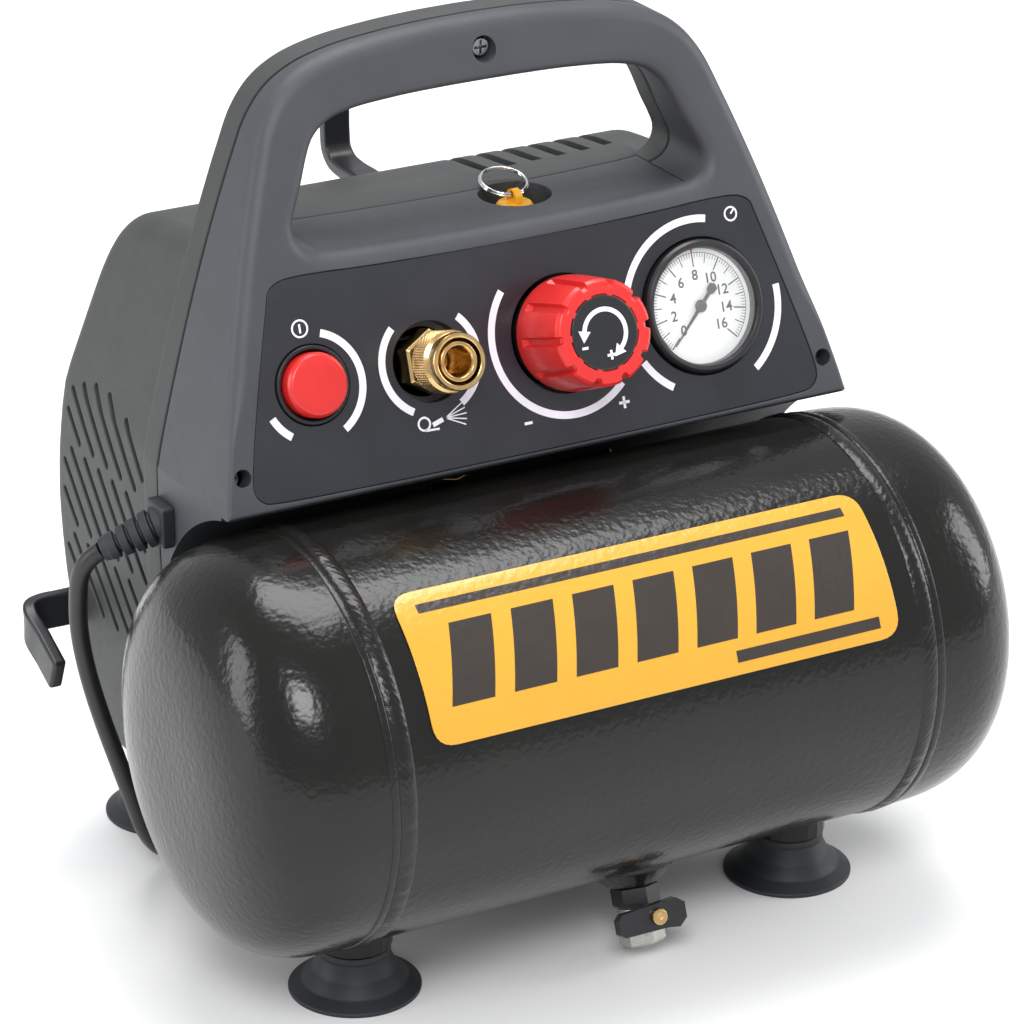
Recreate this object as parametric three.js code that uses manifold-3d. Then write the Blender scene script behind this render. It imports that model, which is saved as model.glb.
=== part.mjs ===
// Small portable air compressor: horizontal air tank on four suction feet, oil-free pump and
// motor behind it under a moulded shroud, and a raked control fascia whose top is the carrying
// handle. Millimetres, +Z up, X along the tank, front towards -Y, floor at z = 0.
import * as THREE from 'three';
import { mergeVertices } from 'three/addons/utils/BufferGeometryUtils.js';
import Module from 'manifold-3d';

const wasm = await Module();
wasm.setup();

// ---------------------------------------------------------------- driving dimensions
const GAP = 0.3;                 // running gap between touching pieces
const Y_SHIFT = -58.05;          // tank axis to the middle of the footprint
const TANK_R = 79.5;             // outside radius of the tank
const TANK_WALL = 2.5;
const TANK_Z = 107.3;            // height of the tank axis
const SHELL_HALF = 113.5;        // half length of the rolled shell
const HEAD_START = 117.0;        // where the dished part of a head starts
const HEAD_DEPTH = 52.0;
const HEAD_POWER = 3.2;          // superellipse power of the dished ends
const BEAD_IN = 108.6, BEAD_OUT = 118.6, BEAD_R = 80.9;
const FOOT_X = 97.4, FOOT_Y_FRONT = -5.1, FOOT_Y_REAR = 163.4, FOOT_R = 25.6;
const RAKE = THREE.MathUtils.degToRad(18.9);   // fascia leans back
const PANEL_Y = 32.1, PANEL_Z = 232.5;         // origin of the fascia plane
const CUTOUT_R = 86;             // mouldings clear the tank by this radius
const PART_Y = 80;               // split between the front and rear handle halves
const REAR_Y = 95;               // rear edge of the rear handle half
const WALL = 3;
const BUTTON_U = -92, OUTLET_U = -43, REG_U = 15, GAUGE_U = 76;
const MOTOR_Y = 138, MOTOR_Z = 148;
const CYL_X = 57;
const THROW = 10;
const VALVE_X = 18, VALVE_Y = 77;
const DRAIN_X = 11, DRAIN_TILT = THREE.MathUtils.degToRad(20.5);
const CORD_D = 7.2;

// ---------------------------------------------------------------- solid helpers
function solid(geometry) {
  let g = geometry.index ? geometry.toNonIndexed() : geometry.clone();
  for (const name of Object.keys(g.attributes)) if (name !== 'position') g.deleteAttribute(name);
  g = mergeVertices(g, 1e-4);
  const idx = g.index.array, tri = [];
  for (let i = 0; i < idx.length; i += 3) {
    const a = idx[i], b = idx[i + 1], c = idx[i + 2];
    if (a !== b && b !== c && c !== a) tri.push(a, b, c);
  }
  return new wasm.Manifold(new wasm.Mesh({
    numProp: 3,
    vertProperties: new Float32Array(g.attributes.position.array),
    triVerts: new Uint32Array(tri),
  }));
}
function geometryOf(manifold) {
  const m = manifold.getMesh();
  const g = new THREE.BufferGeometry();
  g.setAttribute('position', new THREE.BufferAttribute(new Float32Array(m.vertProperties), 3));
  g.setIndex(new THREE.BufferAttribute(new Uint32Array(m.triVerts), 1));
  g.computeVertexNormals();
  return g;
}
const cut = (a, ...b) => b.reduce((s, t) => s.subtract(t), a);
const join = (a, ...b) => b.reduce((s, t) => s.add(t), a);
const meet = (a, ...b) => b.reduce((s, t) => s.intersect(t), a);

const AX = new THREE.Vector3(1, 0, 0), AY = new THREE.Vector3(0, 1, 0), AZ = new THREE.Vector3(0, 0, 1);
const basis = (x, y, z, o = new THREE.Vector3()) => new THREE.Matrix4().makeBasis(x, y, z).setPosition(o);
const PANEL = basis(AX, new THREE.Vector3(0, Math.sin(RAKE), Math.cos(RAKE)),
  new THREE.Vector3(0, -Math.cos(RAKE), Math.sin(RAKE)), new THREE.Vector3(0, PANEL_Y, PANEL_Z));
const AT_PANEL = (g) => g.applyMatrix4(PANEL);

function boxGeo(x0, x1, y0, y1, z0, z1) {
  return new THREE.BoxGeometry(x1 - x0, y1 - y0, z1 - z0).translate((x0 + x1) / 2, (y0 + y1) / 2, (z0 + z1) / 2);
}
const box = (...a) => solid(boxGeo(...a));
// cylinder between two stations of one axis
function rodGeo(axis, r0, r1, from, to, a = 0, b = 0, seg = 32) {
  const g = new THREE.CylinderGeometry(r1, r0, to - from, seg).translate(0, (from + to) / 2, 0);
  if (axis === 'x') g.applyMatrix4(basis(AY.clone(), AX.clone(), AZ.clone().negate())).translate(0, a, b);
  if (axis === 'y') g.translate(a, 0, b);
  if (axis === 'z') g.rotateX(Math.PI / 2).translate(a, b, 0);
  return g;
}
const rod = (...a) => solid(rodGeo(...a));
// turned piece: profile of [radius, height] pairs round the local z axis
function turnedGeo(profile, seg = 32) {
  const pts = profile.map(([r, h]) => new THREE.Vector2(r, h));
  if (!(profile[0][0] === 0 && profile.at(-1)[0] === 0)) pts.push(pts[0].clone());
  return new THREE.LatheGeometry(pts, seg).rotateX(Math.PI / 2);
}
function shapeOf(pts) {
  const s = new THREE.Shape();
  pts.forEach(([x, y], i) => (i ? s.lineTo(x, y) : s.moveTo(x, y)));
  s.closePath();
  return s;
}
const flatExtrude = (pts, depth) => new THREE.ExtrudeGeometry(shapeOf(pts), { depth, bevelEnabled: false, curveSegments: 8 });
// outline in (x, z) pushed along Y, in (y, z) pushed along X, in (x, y) pushed along Z
const prismY = (pts, y0, y1) => solid(flatExtrude(pts, y1 - y0).rotateX(Math.PI / 2).translate(0, y1, 0));
const prismX = (pts, x0, x1) => solid(flatExtrude(pts, x1 - x0).applyMatrix4(basis(AY, AZ, AX)).translate(x0, 0, 0));
const prismZ = (pts, z0, z1) => solid(flatExtrude(pts, z1 - z0).translate(0, 0, z0));
// moves every corner of a counter-clockwise outline inwards by d
function inset(pts, d) {
  const n = pts.length;
  return pts.map((p, i) => {
    const a = pts[(i + n - 1) % n], b = pts[(i + 1) % n];
    const e1 = [p[0] - a[0], p[1] - a[1]], e2 = [b[0] - p[0], b[1] - p[1]];
    const l1 = Math.hypot(...e1), l2 = Math.hypot(...e2);
    const n1 = [-e1[1] / l1, e1[0] / l1], n2 = [-e2[1] / l2, e2[0] / l2];
    let m = [n1[0] + n2[0], n1[1] + n2[1]];
    const lm = Math.hypot(...m); m = [m[0] / lm, m[1] / lm];
    const k = d / Math.max(0.4, m[0] * n1[0] + m[1] * n1[1]);
    return [p[0] + m[0] * k, p[1] + m[1] * k];
  });
}
const mirrored = (half) => [...half, ...half.slice().reverse().filter(([x]) => Math.abs(x) > 1e-6).map(([x, z]) => [-x, z])];
function roundedRect(w, h, r, cx = 0, cy = 0, seg = 4) {
  const out = [];
  for (const [sx, sy, a0] of [[1, -1, -90], [1, 1, 0], [-1, 1, 90], [-1, -1, 180]]) {
    for (let i = 0; i <= seg; i++) {
      const a = THREE.MathUtils.degToRad(a0 + 90 * i / seg);
      out.push([cx + sx * (w / 2 - r) + r * Math.cos(a), cy + sy * (h / 2 - r) + r * Math.sin(a)]);
    }
  }
  return out;
}
const ring = (r, n, phase = 0) => Array.from({ length: n }, (_, i) => {
  const a = phase + 2 * Math.PI * i / n; return [r * Math.cos(a), r * Math.sin(a)];
});

// ---------------------------------------------------------------- scene graph
const compressor = new THREE.Group();
compressor.position.set(0, Y_SHIFT, 0);
const panelGroup = new THREE.Group();          // local z points out of the fascia
panelGroup.position.set(0, PANEL_Y, PANEL_Z);
panelGroup.rotation.x = Math.PI / 2 - RAKE;
compressor.add(panelGroup);

const FINISH = {
  tank: [0x2c2c2a, 0.35, 0.3], moulding: [0x464846, 0.6, 0], fascia: [0x4b4e55, 0.5, 0],
  panel: [0x32343c, 0.3, 0], rubber: [0x282c32, 0.8, 0], red: [0xd9302c, 0.35, 0],
  brass: [0xc8a564, 0.3, 1], steel: [0xb0b0b0, 0.35, 1], chrome: [0xd8d8d8, 0.1, 1],
  yellow: [0xf5b324, 0.4, 0], label: [0xfcc341, 0.35, 0], white: [0xf2f2f2, 0.4, 0],
  glass: [0xe8f0f0, 0.05, 0], black: [0x1b1c1e, 0.4, 0], alloy: [0xa7a9ab, 0.5, 1],
  iron: [0x5c5e60, 0.6, 0.6], copper: [0xb87346, 0.35, 1],
};
function add(name, manifold, finish, parent = compressor) {
  const [color, roughness, metalness] = FINISH[finish];
  const material = new THREE.MeshStandardMaterial({ color, roughness, metalness });
  const geometry = manifold.isBufferGeometry ? manifold : geometryOf(manifold);
  const mesh = new THREE.Mesh(geometry, material);
  mesh.name = name;
  parent.add(mesh);
  return mesh;
}

const tankCylinder = (r, x = 400) => rod('x', r, r, -x, x, 0, TANK_Z, 48);
const tankSkin = rod('x', TANK_R + GAP, TANK_R + GAP, -SHELL_HALF, SHELL_HALF, 0, TANK_Z, 36);

// ---------------------------------------------------------------- tank
{
  const shell = cut(
    rod('x', TANK_R, TANK_R, -SHELL_HALF, SHELL_HALF, 0, TANK_Z, 36),
    rod('x', TANK_R - TANK_WALL, TANK_R - TANK_WALL, -SHELL_HALF - 1, SHELL_HALF + 1, 0, TANK_Z, 36));
  const drainHole = rod('z', 5, 5, -100, 0, 0, 0, 16).rotate([-THREE.MathUtils.radToDeg(DRAIN_TILT), 0, 0]).translate([DRAIN_X, 0, TANK_Z]);
  const inlet = rod('z', 4, 4, TANK_Z, 250, -20, 64, 16);
  const outlet = rod('z', 4, 4, TANK_Z, 250, 50, 66, 16);
  add('tank_shell', cut(shell, drainHole, inlet, outlet), 'tank');

  const outer = [], inner = [];
  const N = 7, M = 2;
  for (let i = 0; i <= N; i++) {
    const t = Math.PI / 2 * i / N;
    outer.push([i === N ? 0 : TANK_R * Math.cos(t) ** (2 / HEAD_POWER), HEAD_START + HEAD_DEPTH * Math.sin(t) ** (2 / HEAD_POWER)]);
  }
  for (let i = 0; i <= M; i++) {
    const t = Math.PI / 2 * i / M;
    inner.push([i === M ? 0 : (TANK_R - TANK_WALL) * Math.cos(t) ** (2 / HEAD_POWER), HEAD_START + (HEAD_DEPTH - TANK_WALL) * Math.sin(t) ** (2 / HEAD_POWER)]);
  }
  const start = SHELL_HALF + GAP;
  const profile = [...inner.reverse(), [TANK_R - TANK_WALL, start], [TANK_R, start], ...outer];
  for (const [name, side] of [['tank_head_left', -1], ['tank_head_right', 1]]) {
    const g = turnedGeo(profile, 36).rotateY(side * Math.PI / 2).translate(0, 0, TANK_Z);
    add(name, g, 'tank');
  }
  for (const [name, s] of [['weld_bead_left', -1], ['weld_bead_right', 1]]) {
    const p = [[TANK_R + GAP, BEAD_IN], [BEAD_R, BEAD_IN + 2], [BEAD_R, BEAD_OUT - 2], [TANK_R + GAP, BEAD_OUT]];
    add(name, turnedGeo(p, 36).rotateY(s * Math.PI / 2).translate(0, 0, TANK_Z), 'tank');
  }
  // warning-free decorative label wrapped on the front of the shell
  const a0 = THREE.MathUtils.degToRad(17.7), a1 = THREE.MathUtils.degToRad(60.4);
  const arc = [];
  for (let i = 0; i <= 10; i++) { const a = a0 + (a1 - a0) * i / 10; arc.push([-(TANK_R + GAP) * Math.cos(a), TANK_Z + (TANK_R + GAP) * Math.sin(a)]); }
  for (let i = 10; i >= 0; i--) { const a = a0 + (a1 - a0) * i / 10; arc.push([-(TANK_R + GAP + 0.6) * Math.cos(a), TANK_Z + (TANK_R + GAP + 0.6) * Math.sin(a)]); }
  const wrap = prismX(arc, -99.5, 99.5);
  const zc = TANK_Z + TANK_R * (Math.sin(a0) + Math.sin(a1)) / 2, zh = TANK_R * (Math.sin(a1) - Math.sin(a0));
  add('tank_label', meet(wrap, prismY(roundedRect(199, zh + 1.2, 7, 0, zc, 2), -120, 0)), 'label');
}

// ---------------------------------------------------------------- feet
{
  const cup = [[0, 4.5], [22.5, 0], [FOOT_R, 0], [FOOT_R, 1.4], [18.6, 7.2], [13.4, 15], [13.2, 18.7], [0, 18.7]];
  const spots = [['front_left', -FOOT_X, FOOT_Y_FRONT], ['front_right', FOOT_X, FOOT_Y_FRONT], ['rear_left', -FOOT_X, FOOT_Y_REAR], ['rear_right', FOOT_X, FOOT_Y_REAR]];
  for (const [name, x, y] of spots) {
    add('suction_foot_' + name, turnedGeo(cup, 20), 'rubber').position.set(x, y, 0);
    const front = y < 50;
    if (y < 50) add('foot_boss_' + name, cut(rod('z', 14.6, 14.6, 19, 40, x, y, 18), tankSkin, rod('x', BEAD_R + 0.5, BEAD_R + 0.5, BEAD_IN - GAP, BEAD_OUT + GAP, 0, TANK_Z, 48), rod('x', BEAD_R + 0.5, BEAD_R + 0.5, -BEAD_OUT - GAP, -BEAD_IN + GAP, 0, TANK_Z, 48)), 'tank');
  }
}

// ---------------------------------------------------------------- rear support frame and motor mount
{
  const plate = prismZ(roundedRect(224, 92, 14, 0, 134), 25.3, 28.3);
  const rearBoss = (x) => rod('z', 14.6, 14.6, 19, 26, x, FOOT_Y_REAR, 18);
  const rib = (x) => cut(prismX([[34, 28], [100, 28], [100, 33], [92, 72], [80, 82], [50, 60], [30, 40]], x - 2, x + 2), tankSkin);
  const tongue = cut(prismZ(roundedRect(176, 72, 6, 0, 64), 25.3, 28.3), tankSkin);
  add('rear_support_frame', join(plate, tongue, rib(-82), rib(82), rearBoss(-FOOT_X), rearBoss(FOOT_X)), 'tank');
  const leg = (x) => cut(prismX([[104, 28.6], [154, 28.6], [154, 40], [160, 62], [162, 120], [150, 112], [126, 112], [114, 120], [104, 32]], x, x + 3.5), rod('x', 40.4, 40.4, -200, 200, MOTOR_Y, MOTOR_Z, 24));
  add('motor_mount', join(box(-76, -24, 104, 154, 28.6, 32), leg(-76), leg(-27.5)), 'iron');
}

// ---------------------------------------------------------------- outlines of the mouldings
const halfOut = [[133, 120], [134.5, 175], [134.2, 193], [122, 242], [113.8, 270.3], [107.6, 289.3], [100.8, 308.2], [93.6, 325.2], [86.5, 333.7], [76, 340.3], [61, 344.8], [40, 347.6], [20, 349], [0, 349.4]];
const outline = mirrored(halfOut);                 // counter-clockwise in (x, z)
const openingHalf = [[0, 274.7], [40, 275.1], [75, 276.2], [83.5, 277.9], [87.6, 282], [88.2, 286.5], [82.4, 298.7], [76.6, 312], [70.2, 319], [58.5, 323.1], [38, 324.8], [0, 325.5]];
const opening = mirrored(openingHalf);
const inFront = solid(AT_PANEL(boxGeo(-300, 300, -300, 300, 0, 300)));
const inFrontDeep = solid(AT_PANEL(boxGeo(-300, 300, -300, 300, -WALL, 300)));
const openThrough = prismY(opening, -60, 240);
const openWall = prismY(inset(opening, -WALL), -60, 240);
const roofStrip = meet(cut(openWall, openThrough), box(-83, 83, -60, 240, 268, 277));
const roofStripLoose = meet(cut(prismY(inset(opening, -WALL - GAP), -60, 240), openThrough), box(-83 - GAP, 83 + GAP, -60, 240, 268, 277.5));
const clearTank = tankCylinder(CUTOUT_R);
const valvePocket = rod('z', 14.5, 14.5, 262, 290, VALVE_X, VALVE_Y, 20);

const panelHoles = [[BUTTON_U, 0, 15.2], [OUTLET_U, 0, 15.3], [REG_U, 0.5, 22.8], [GAUGE_U, 0.3, 26.7]];
const plateOutline = [[101.5, 38.5], [103.8, 36.5], [104.9, 33], [121.8, -31], [121.6, -36], [118.5, -39.4], [114, -40.2], [-114, -40.2], [-118.5, -39.4], [-121.6, -36], [-121.8, -31], [-104.9, 33], [-103.8, 36.5], [-101.5, 38.5], [-97, 40], [0, 38.8], [97, 40]].reverse();

// ---------------------------------------------------------------- front fascia with the front half of the handle
{
  let body = cut(prismY(outline, -60, PART_Y), inFront, openThrough);
  const hollow = cut(prismY(inset(outline, WALL), -60, PART_Y + 1), inFrontDeep, openWall);
  body = cut(body, hollow, clearTank);
  body = join(body, meet(roofStrip, box(-90, 90, PART_Y - 0.5, 88.7, 260, 290)));
  body = cut(body, valvePocket);
  const plateRecess = solid(AT_PANEL(new THREE.ExtrudeGeometry(shapeOf(inset(plateOutline, -0.5)), { depth: 6, bevelEnabled: false }).translate(0, 0, -1.6)));
  body = cut(body, plateRecess);
  for (const [u, v, r] of panelHoles) body = cut(body, solid(AT_PANEL(rodGeo('z', r + 0.2, r + 0.2, -8, 4, u, v, 20))));
  // screw bosses with stepped holes, clear of the plate's recess
  for (const u of [-127, 127]) {
    const boss = meet(solid(AT_PANEL(rodGeo('z', 7.5, 7.5, -24, -1, u, -28.7, 14))), cut(prismY(outline, -60, PART_Y), clearTank, plateRecess));
    body = join(body, boss);
    body = cut(body, solid(AT_PANEL(rodGeo('z', 4.9, 4.9, -12, 4, u, -28.7, 16))), solid(AT_PANEL(rodGeo('z', 2.3, 2.3, -30, 4, u, -28.7, 8))));
  }
  const handleBoss = meet(rod('y', 8, 8, 50, PART_Y, 0, 337.6, 14), cut(prismY(outline, -60, PART_Y), inFront, openThrough));
  body = join(body, handleBoss);
  body = cut(body, rod('y', 5, 5, 40, 74, 0, 337.6, 16), rod('y', 2.4, 2.4, 40, 90, 0, 337.6, 8));
  add('front_fascia', body, 'fascia');
}

// ---------------------------------------------------------------- rear half of the handle and its side flanges
{
  let body = cut(prismY(outline, PART_Y + GAP, REAR_Y), openThrough);
  const inner = prismY(inset(outline, WALL), PART_Y, REAR_Y + 1);
  const handleHollow = meet(cut(inner, openWall), box(-200, 200, PART_Y, REAR_Y - WALL, 200, 400));
  const bodyHollow = meet(inner, box(-200, 200, PART_Y, REAR_Y + 1, 0, 268));
  body = cut(body, handleHollow, bodyHollow, clearTank);
  body = join(body, meet(roofStrip, box(-90, 90, REAR_Y - 1, 107, 260, 290)));
  body = cut(body, meet(roofStripLoose, box(-90, 90, 70, 89, 260, 290)), valvePocket);
  body = join(body, meet(rod('y', 6, 6, PART_Y + GAP, REAR_Y - 1, 0, 337.6, 20), prismY(outline, 70, 100)));
  body = cut(body, rod('y', 2.2, 2.2, PART_Y, PART_Y + 12, 0, 337.6, 12));
  add('handle_rear_shell', body, 'moulding');
}

// ---------------------------------------------------------------- rear shroud over the pump and motor
const sideProfile = [[REAR_Y + GAP, 38], [158, 38], [170, 47], [178, 60], [184, 76], [188.5, 98], [190.5, 122], [190, 142], [187.5, 162], [183, 182], [177.5, 203], [172.5, 222], [167.5, 240], [163.5, 251], [158.5, 259], [151, 265.2], [143, 267.6], [107, 272.2], [REAR_Y + GAP, 273.4]];
const shroudHalf = [[0, 30], [124, 30], [127, 60], [130, 110], [131.6, 160], [131.2, 192], [119.4, 240], [114.8, 256], [111.5, 264.5], [106, 270.5], [98, 274], [0, 276]];
const shroudOuter = meet(prismX(sideProfile, -140, 140), prismY(mirrored(shroudHalf), REAR_Y + GAP, 220));
{
  const innerProfile = inset(sideProfile, 2.6).map(([y, z]) => [y < REAR_Y + 5 ? REAR_Y - 5 : y, z < 42 ? 30 : z]);
  const shroudInner = meet(prismX(innerProfile, -140, 140), prismY(inset(mirrored(shroudHalf), 2.6).map(([x, z]) => [x, z < 35 ? 20 : z]), REAR_Y - 10, 220));
  let body = cut(shroudOuter, shroudInner, clearTank);
  body = cut(body, box(-84, 84, REAR_Y - 1, 107 + GAP, 262, 290));
  // top louvres over the cylinder head
  for (let i = 0; i < 6; i++) {
    const x = 27.5 + 11.8 * i;
    body = cut(body, meet(box(x - 2.4, x + 2.4, 111, 172, 248, 290), prismX([[111, 248], [168, 248], [168, 257], [150, 290], [111, 290]], x - 3, x + 3)));
  }
  // slanted side vents in a round field
  const slots = [];
  const dy = 0.655, dz = 0.755, cy = 138, cz = 150, cr = 50;
  const rows = [[171, 203, 0], [134, 165, 6.5], [101, 127, 0]];
  for (const [z0, z1, off] of rows) {
    for (let y0 = 70; y0 < 190; y0 += 13) {
      let from = null, to = null;
      for (let z = z0; z <= z1; z += 0.5) {
        const y = y0 + off + (z - z0) * dy / dz;
        const ok = Math.hypot(y - cy, z - cz) < cr && y > 101.5 && Math.hypot(y, z - TANK_Z) > CUTOUT_R + 6;
        if (ok) { if (from === null) from = z; to = z; }
      }
      if (from !== null && to - from > 6) slots.push([y0 + off + (from - z0) * dy / dz, from, y0 + off + (to - z0) * dy / dz, to]);
    }
  }
  const w = 1.7;
  for (const [ya, za, yb, zb] of slots) {
    const quad = [[ya - w * dz, za + w * dy], [ya + w * dz, za - w * dy], [yb + w * dz, zb - w * dy], [yb - w * dz, zb + w * dy]];
    body = cut(body, prismX(quad, -140, -110), prismX(quad, 110, 140));
  }
  add('rear_shroud', body, 'moulding');
}

// ---------------------------------------------------------------- control panel plate
{
  let plate = new THREE.Shape(plateOutline.map(([x, y]) => new THREE.Vector2(x, y)));
  let body = solid(new THREE.ExtrudeGeometry(plate, { depth: 1.0, bevelEnabled: false }).translate(0, 0, -1.3));
  for (const [u, v, r] of panelHoles) body = cut(body, rod('z', r, r, -8, 4, u, v, 20));
  add('control_panel_plate', body, 'panel', panelGroup);
}

// ---------------------------------------------------------------- screws
{
  const screw = (shaft) => cut(join(rod('z', 4.2, 3.4, 0, 2.6, 0, 0, 14), rod('z', 1.9, 1.9, -shaft, 0.5, 0, 0, 8)),
    box(-2.6, 2.6, -0.45, 0.45, 1.2, 4), box(-0.45, 0.45, -2.6, 2.6, 1.2, 4));
  for (const [name, u] of [['fascia_screw_left', -127], ['fascia_screw_right', 127]]) {
    add(name, screw(9), 'steel', panelGroup).position.set(u, -28.7, -11.7);
  }
  const m = add('handle_screw', screw(15).rotate([90, 0, 0]), 'steel');
  m.position.set(0, 73.7, 337.6);
}

// ---------------------------------------------------------------- start button and its switch
{
  add('start_button', turnedGeo([[0, -9], [12.2, -9], [12.2, 4.6], [11.4, 6], [0, 6.3]], 24), 'red', panelGroup).position.set(BUTTON_U, 0, 0);
  add('start_switch_body', turnedGeo([[0, -27], [14.8, -27], [14.8, -0.4], [12.7, -0.4], [12.7, -15], [0, -15]], 20), 'black', panelGroup).position.set(BUTTON_U, 0, 0);
}

// ---------------------------------------------------------------- pressure gauge
{
  const p = (m) => m.position.set(GAUGE_U, 0.3, 0);
  p(add('gauge_case', turnedGeo([[0, -35.6], [5, -35.6], [5, -25], [24, -25], [25.2, -23], [25.2, -2.2], [24, -2.2], [24, -22], [0, -22]], 20), 'black', panelGroup));
  p(add('gauge_bezel', turnedGeo([[25.8, -1.8], [25.8, 2.2], [24.8, 3.2], [23.2, 3.2], [22.6, 2.2], [22.6, -1.8]], 28), 'black', panelGroup));
  p(add('gauge_dial', cut(rod('z', 23.6, 23.6, -3.4, -2.6, 0, 0, 26), rod('z', 1.6, 1.6, -5, 0, 0, 0, 12)), 'white', panelGroup));
  p(add('gauge_lens', rod('z', 22.3, 22.3, 1.0, 2.0, 0, 0, 28), 'glass', panelGroup));
  // needle rests on the lower left end of the scale
  const needle = join(
    prismZ([[-1.2, -7], [1.2, -7], [0.9, 0], [0.25, 19.5], [-0.25, 19.5], [-0.9, 0]], -1.7, -1.1),
    rod('z', 2.6, 2.6, -2.1, -0.7, 0, 0, 14), rod('z', 1.1, 1.1, -5, -1, 0, 0, 8));
  const m = add('gauge_needle', needle, 'black', panelGroup);
  m.position.set(GAUGE_U, 0.3, 0);
  m.rotation.z = THREE.MathUtils.degToRad(135);
}

// ---------------------------------------------------------------- pressure regulator
{
  const p = (m) => m.position.set(REG_U, 0.5, 0);
  p(add('regulator_body', turnedGeo([[0, -35.6], [9, -35.6], [9, -31], [17, -30], [17, -4], [8, -4], [8, 12], [0, 12]], 20), 'black', panelGroup));
  p(add('regulator_nut', cut(prismZ(ring(21, 12), -3.6, 1.2), rod('z', 8.4, 8.4, -8, 4, 0, 0, 18)), 'black', panelGroup));
  const grips = [];
  for (let i = 0; i < 10; i++) {
    for (const [k, r] of [[-0.5, 21.9], [-0.19, 21.9], [-0.11, 20.1], [0.11, 20.1], [0.19, 21.9]].slice(1)) {
      const a = 2 * Math.PI * (i + k) / 10; grips.push([r * Math.cos(a), r * Math.sin(a)]);
    }
  }
  let knob = join(rod('z', 22.2, 21.9, 1.7, 9, 0, 0, 20), meet(prismZ(grips, 8.5, 31.6), rod('z', 22.2, 20.4, 8, 31.6, 0, 0, 20)));
  knob = cut(knob, rod('z', 8.4, 8.4, 0, 15, 0, 0, 16), rod('z', 14.5, 14.5, 30.4, 35, 0, 0, 20), rod('z', 18.5, 18.5, 0, 5, 0, 0, 18));
  p(add('regulator_knob', knob, 'red', panelGroup));
  p(add('regulator_knob_cap', rod('z', 14.1, 14.1, 30.7, 31.9, 0, 0, 20), 'black', panelGroup));
}

// ---------------------------------------------------------------- quick coupler
{
  const p = (m) => m.position.set(OUTLET_U, 0, 0);
  let body = join(
    solid(turnedGeo([[0, -35.6], [8, -35.6], [8, 3], [8.5, 3], [8.5, 22], [7.6, 24.2], [0, 24.2]], 18)),
    prismZ(ring(12.6, 6), -5, 4));
  body = cut(body, rod('z', 5.4, 5.4, -12, 30, 0, 0, 16));
  p(add('coupler_body', body, 'brass', panelGroup));
  const teeth = [];
  for (let i = 0; i < 24; i++) { const r = i % 2 ? 11.9 : 11.4, a = 2 * Math.PI * i / 24; teeth.push([r * Math.cos(a), r * Math.sin(a)]); }
  let sleeve = join(prismZ(teeth, 7.6, 18), rod('z', 10.3, 10.3, 17, 20, 0, 0, 18), rod('z', 10.9, 10.9, 19.5, 24.6, 0, 0, 18));
  sleeve = cut(sleeve, rod('z', 8.9, 8.9, 0, 40, 0, 0, 18));
  p(add('coupler_sleeve', sleeve, 'brass', panelGroup));
  p(add('coupler_poppet', join(rod('z', 4.9, 4.9, 2, 6, 0, 0, 14), rod('z', 2, 2, -6, 3, 0, 0, 8)), 'steel', panelGroup));
}

// ---------------------------------------------------------------- manifold, riser, check valve and discharge tube
{
  const bar = join(box(-54, 88, -8, 8, -48, -36), rod('z', 9.5, 9.5, -37, -35.9, OUTLET_U, 0, 14), rod('z', 9.5, 9.5, -37, -35.9, REG_U, 0.5, 14), rod('z', 7, 7, -37, -35.9, GAUGE_U, 0.3, 14));
  add('air_manifold', bar, 'alloy', panelGroup);
  const riser = cut(join(rod('z', 5, 5, 120, 204, 50, 66, 12), rod('z', 9, 9, 120, 160, 50, 66, 14), solid(rodGeo('z', 8, 8, 192, 201, 50, 66, 6))), tankSkin);
  add('tank_riser', riser, 'brass');
  const check = cut(join(rod('z', 7, 7, 120, 176, -20, 64, 14), solid(rodGeo('z', 10, 10, 162, 172, -20, 64, 6))), tankSkin);
  add('check_valve', check, 'brass');
  const path = new THREE.CatmullRomCurve3([[-20, 64, 176.4], [-20, 64, 188], [-18, 72, 200], [-8, 92, 212], [6, 104, 224], [16, 112, 235], [22.5, 122, 239], [26.2, 131, 239]].map((q) => new THREE.Vector3(...q)));
  const sec = new THREE.Shape(ring(3, 6).map(([x, y]) => new THREE.Vector2(x, y)));
  add('discharge_tube', solid(new THREE.ExtrudeGeometry(sec, { steps: 16, bevelEnabled: false, extrudePath: path })), 'copper');
}

// ---------------------------------------------------------------- safety valve under the roof pocket
{
  const m1 = add('safety_valve_body', join(rod('z', 5, 5, 231.5, 262, VALVE_X, VALVE_Y, 20), solid(rodGeo('z', 8, 8, 246, 256, VALVE_X, VALVE_Y, 6))), 'brass');
  const cap = cut(rod('z', 7.4, 7.4, 262.4, 271.5, VALVE_X, VALVE_Y, 20), rod('z', 6.6, 6.6, 261, 263.4, VALVE_X, VALVE_Y, 14),
    rod('x', 1.5, 1.5, 0, 60, VALVE_Y, 274.2, 12));
  const eye = cut(box(VALVE_X - 1.6, VALVE_X + 1.6, VALVE_Y - 4, VALVE_Y + 4, 271, 277.2), rod('x', 1.7, 1.7, 0, 60, VALVE_Y, 274.4, 14));
  add('safety_valve_cap', join(cap, eye), 'yellow');
  // split ring through the eye, lying back
  const torus = solid(new THREE.TorusGeometry(9.2, 0.9, 5, 18).rotateX(0.28));
  add('safety_valve_ring', torus, 'chrome').position.set(VALVE_X, VALVE_Y + 8.86, 274.4 + 2.55);
}

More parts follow.
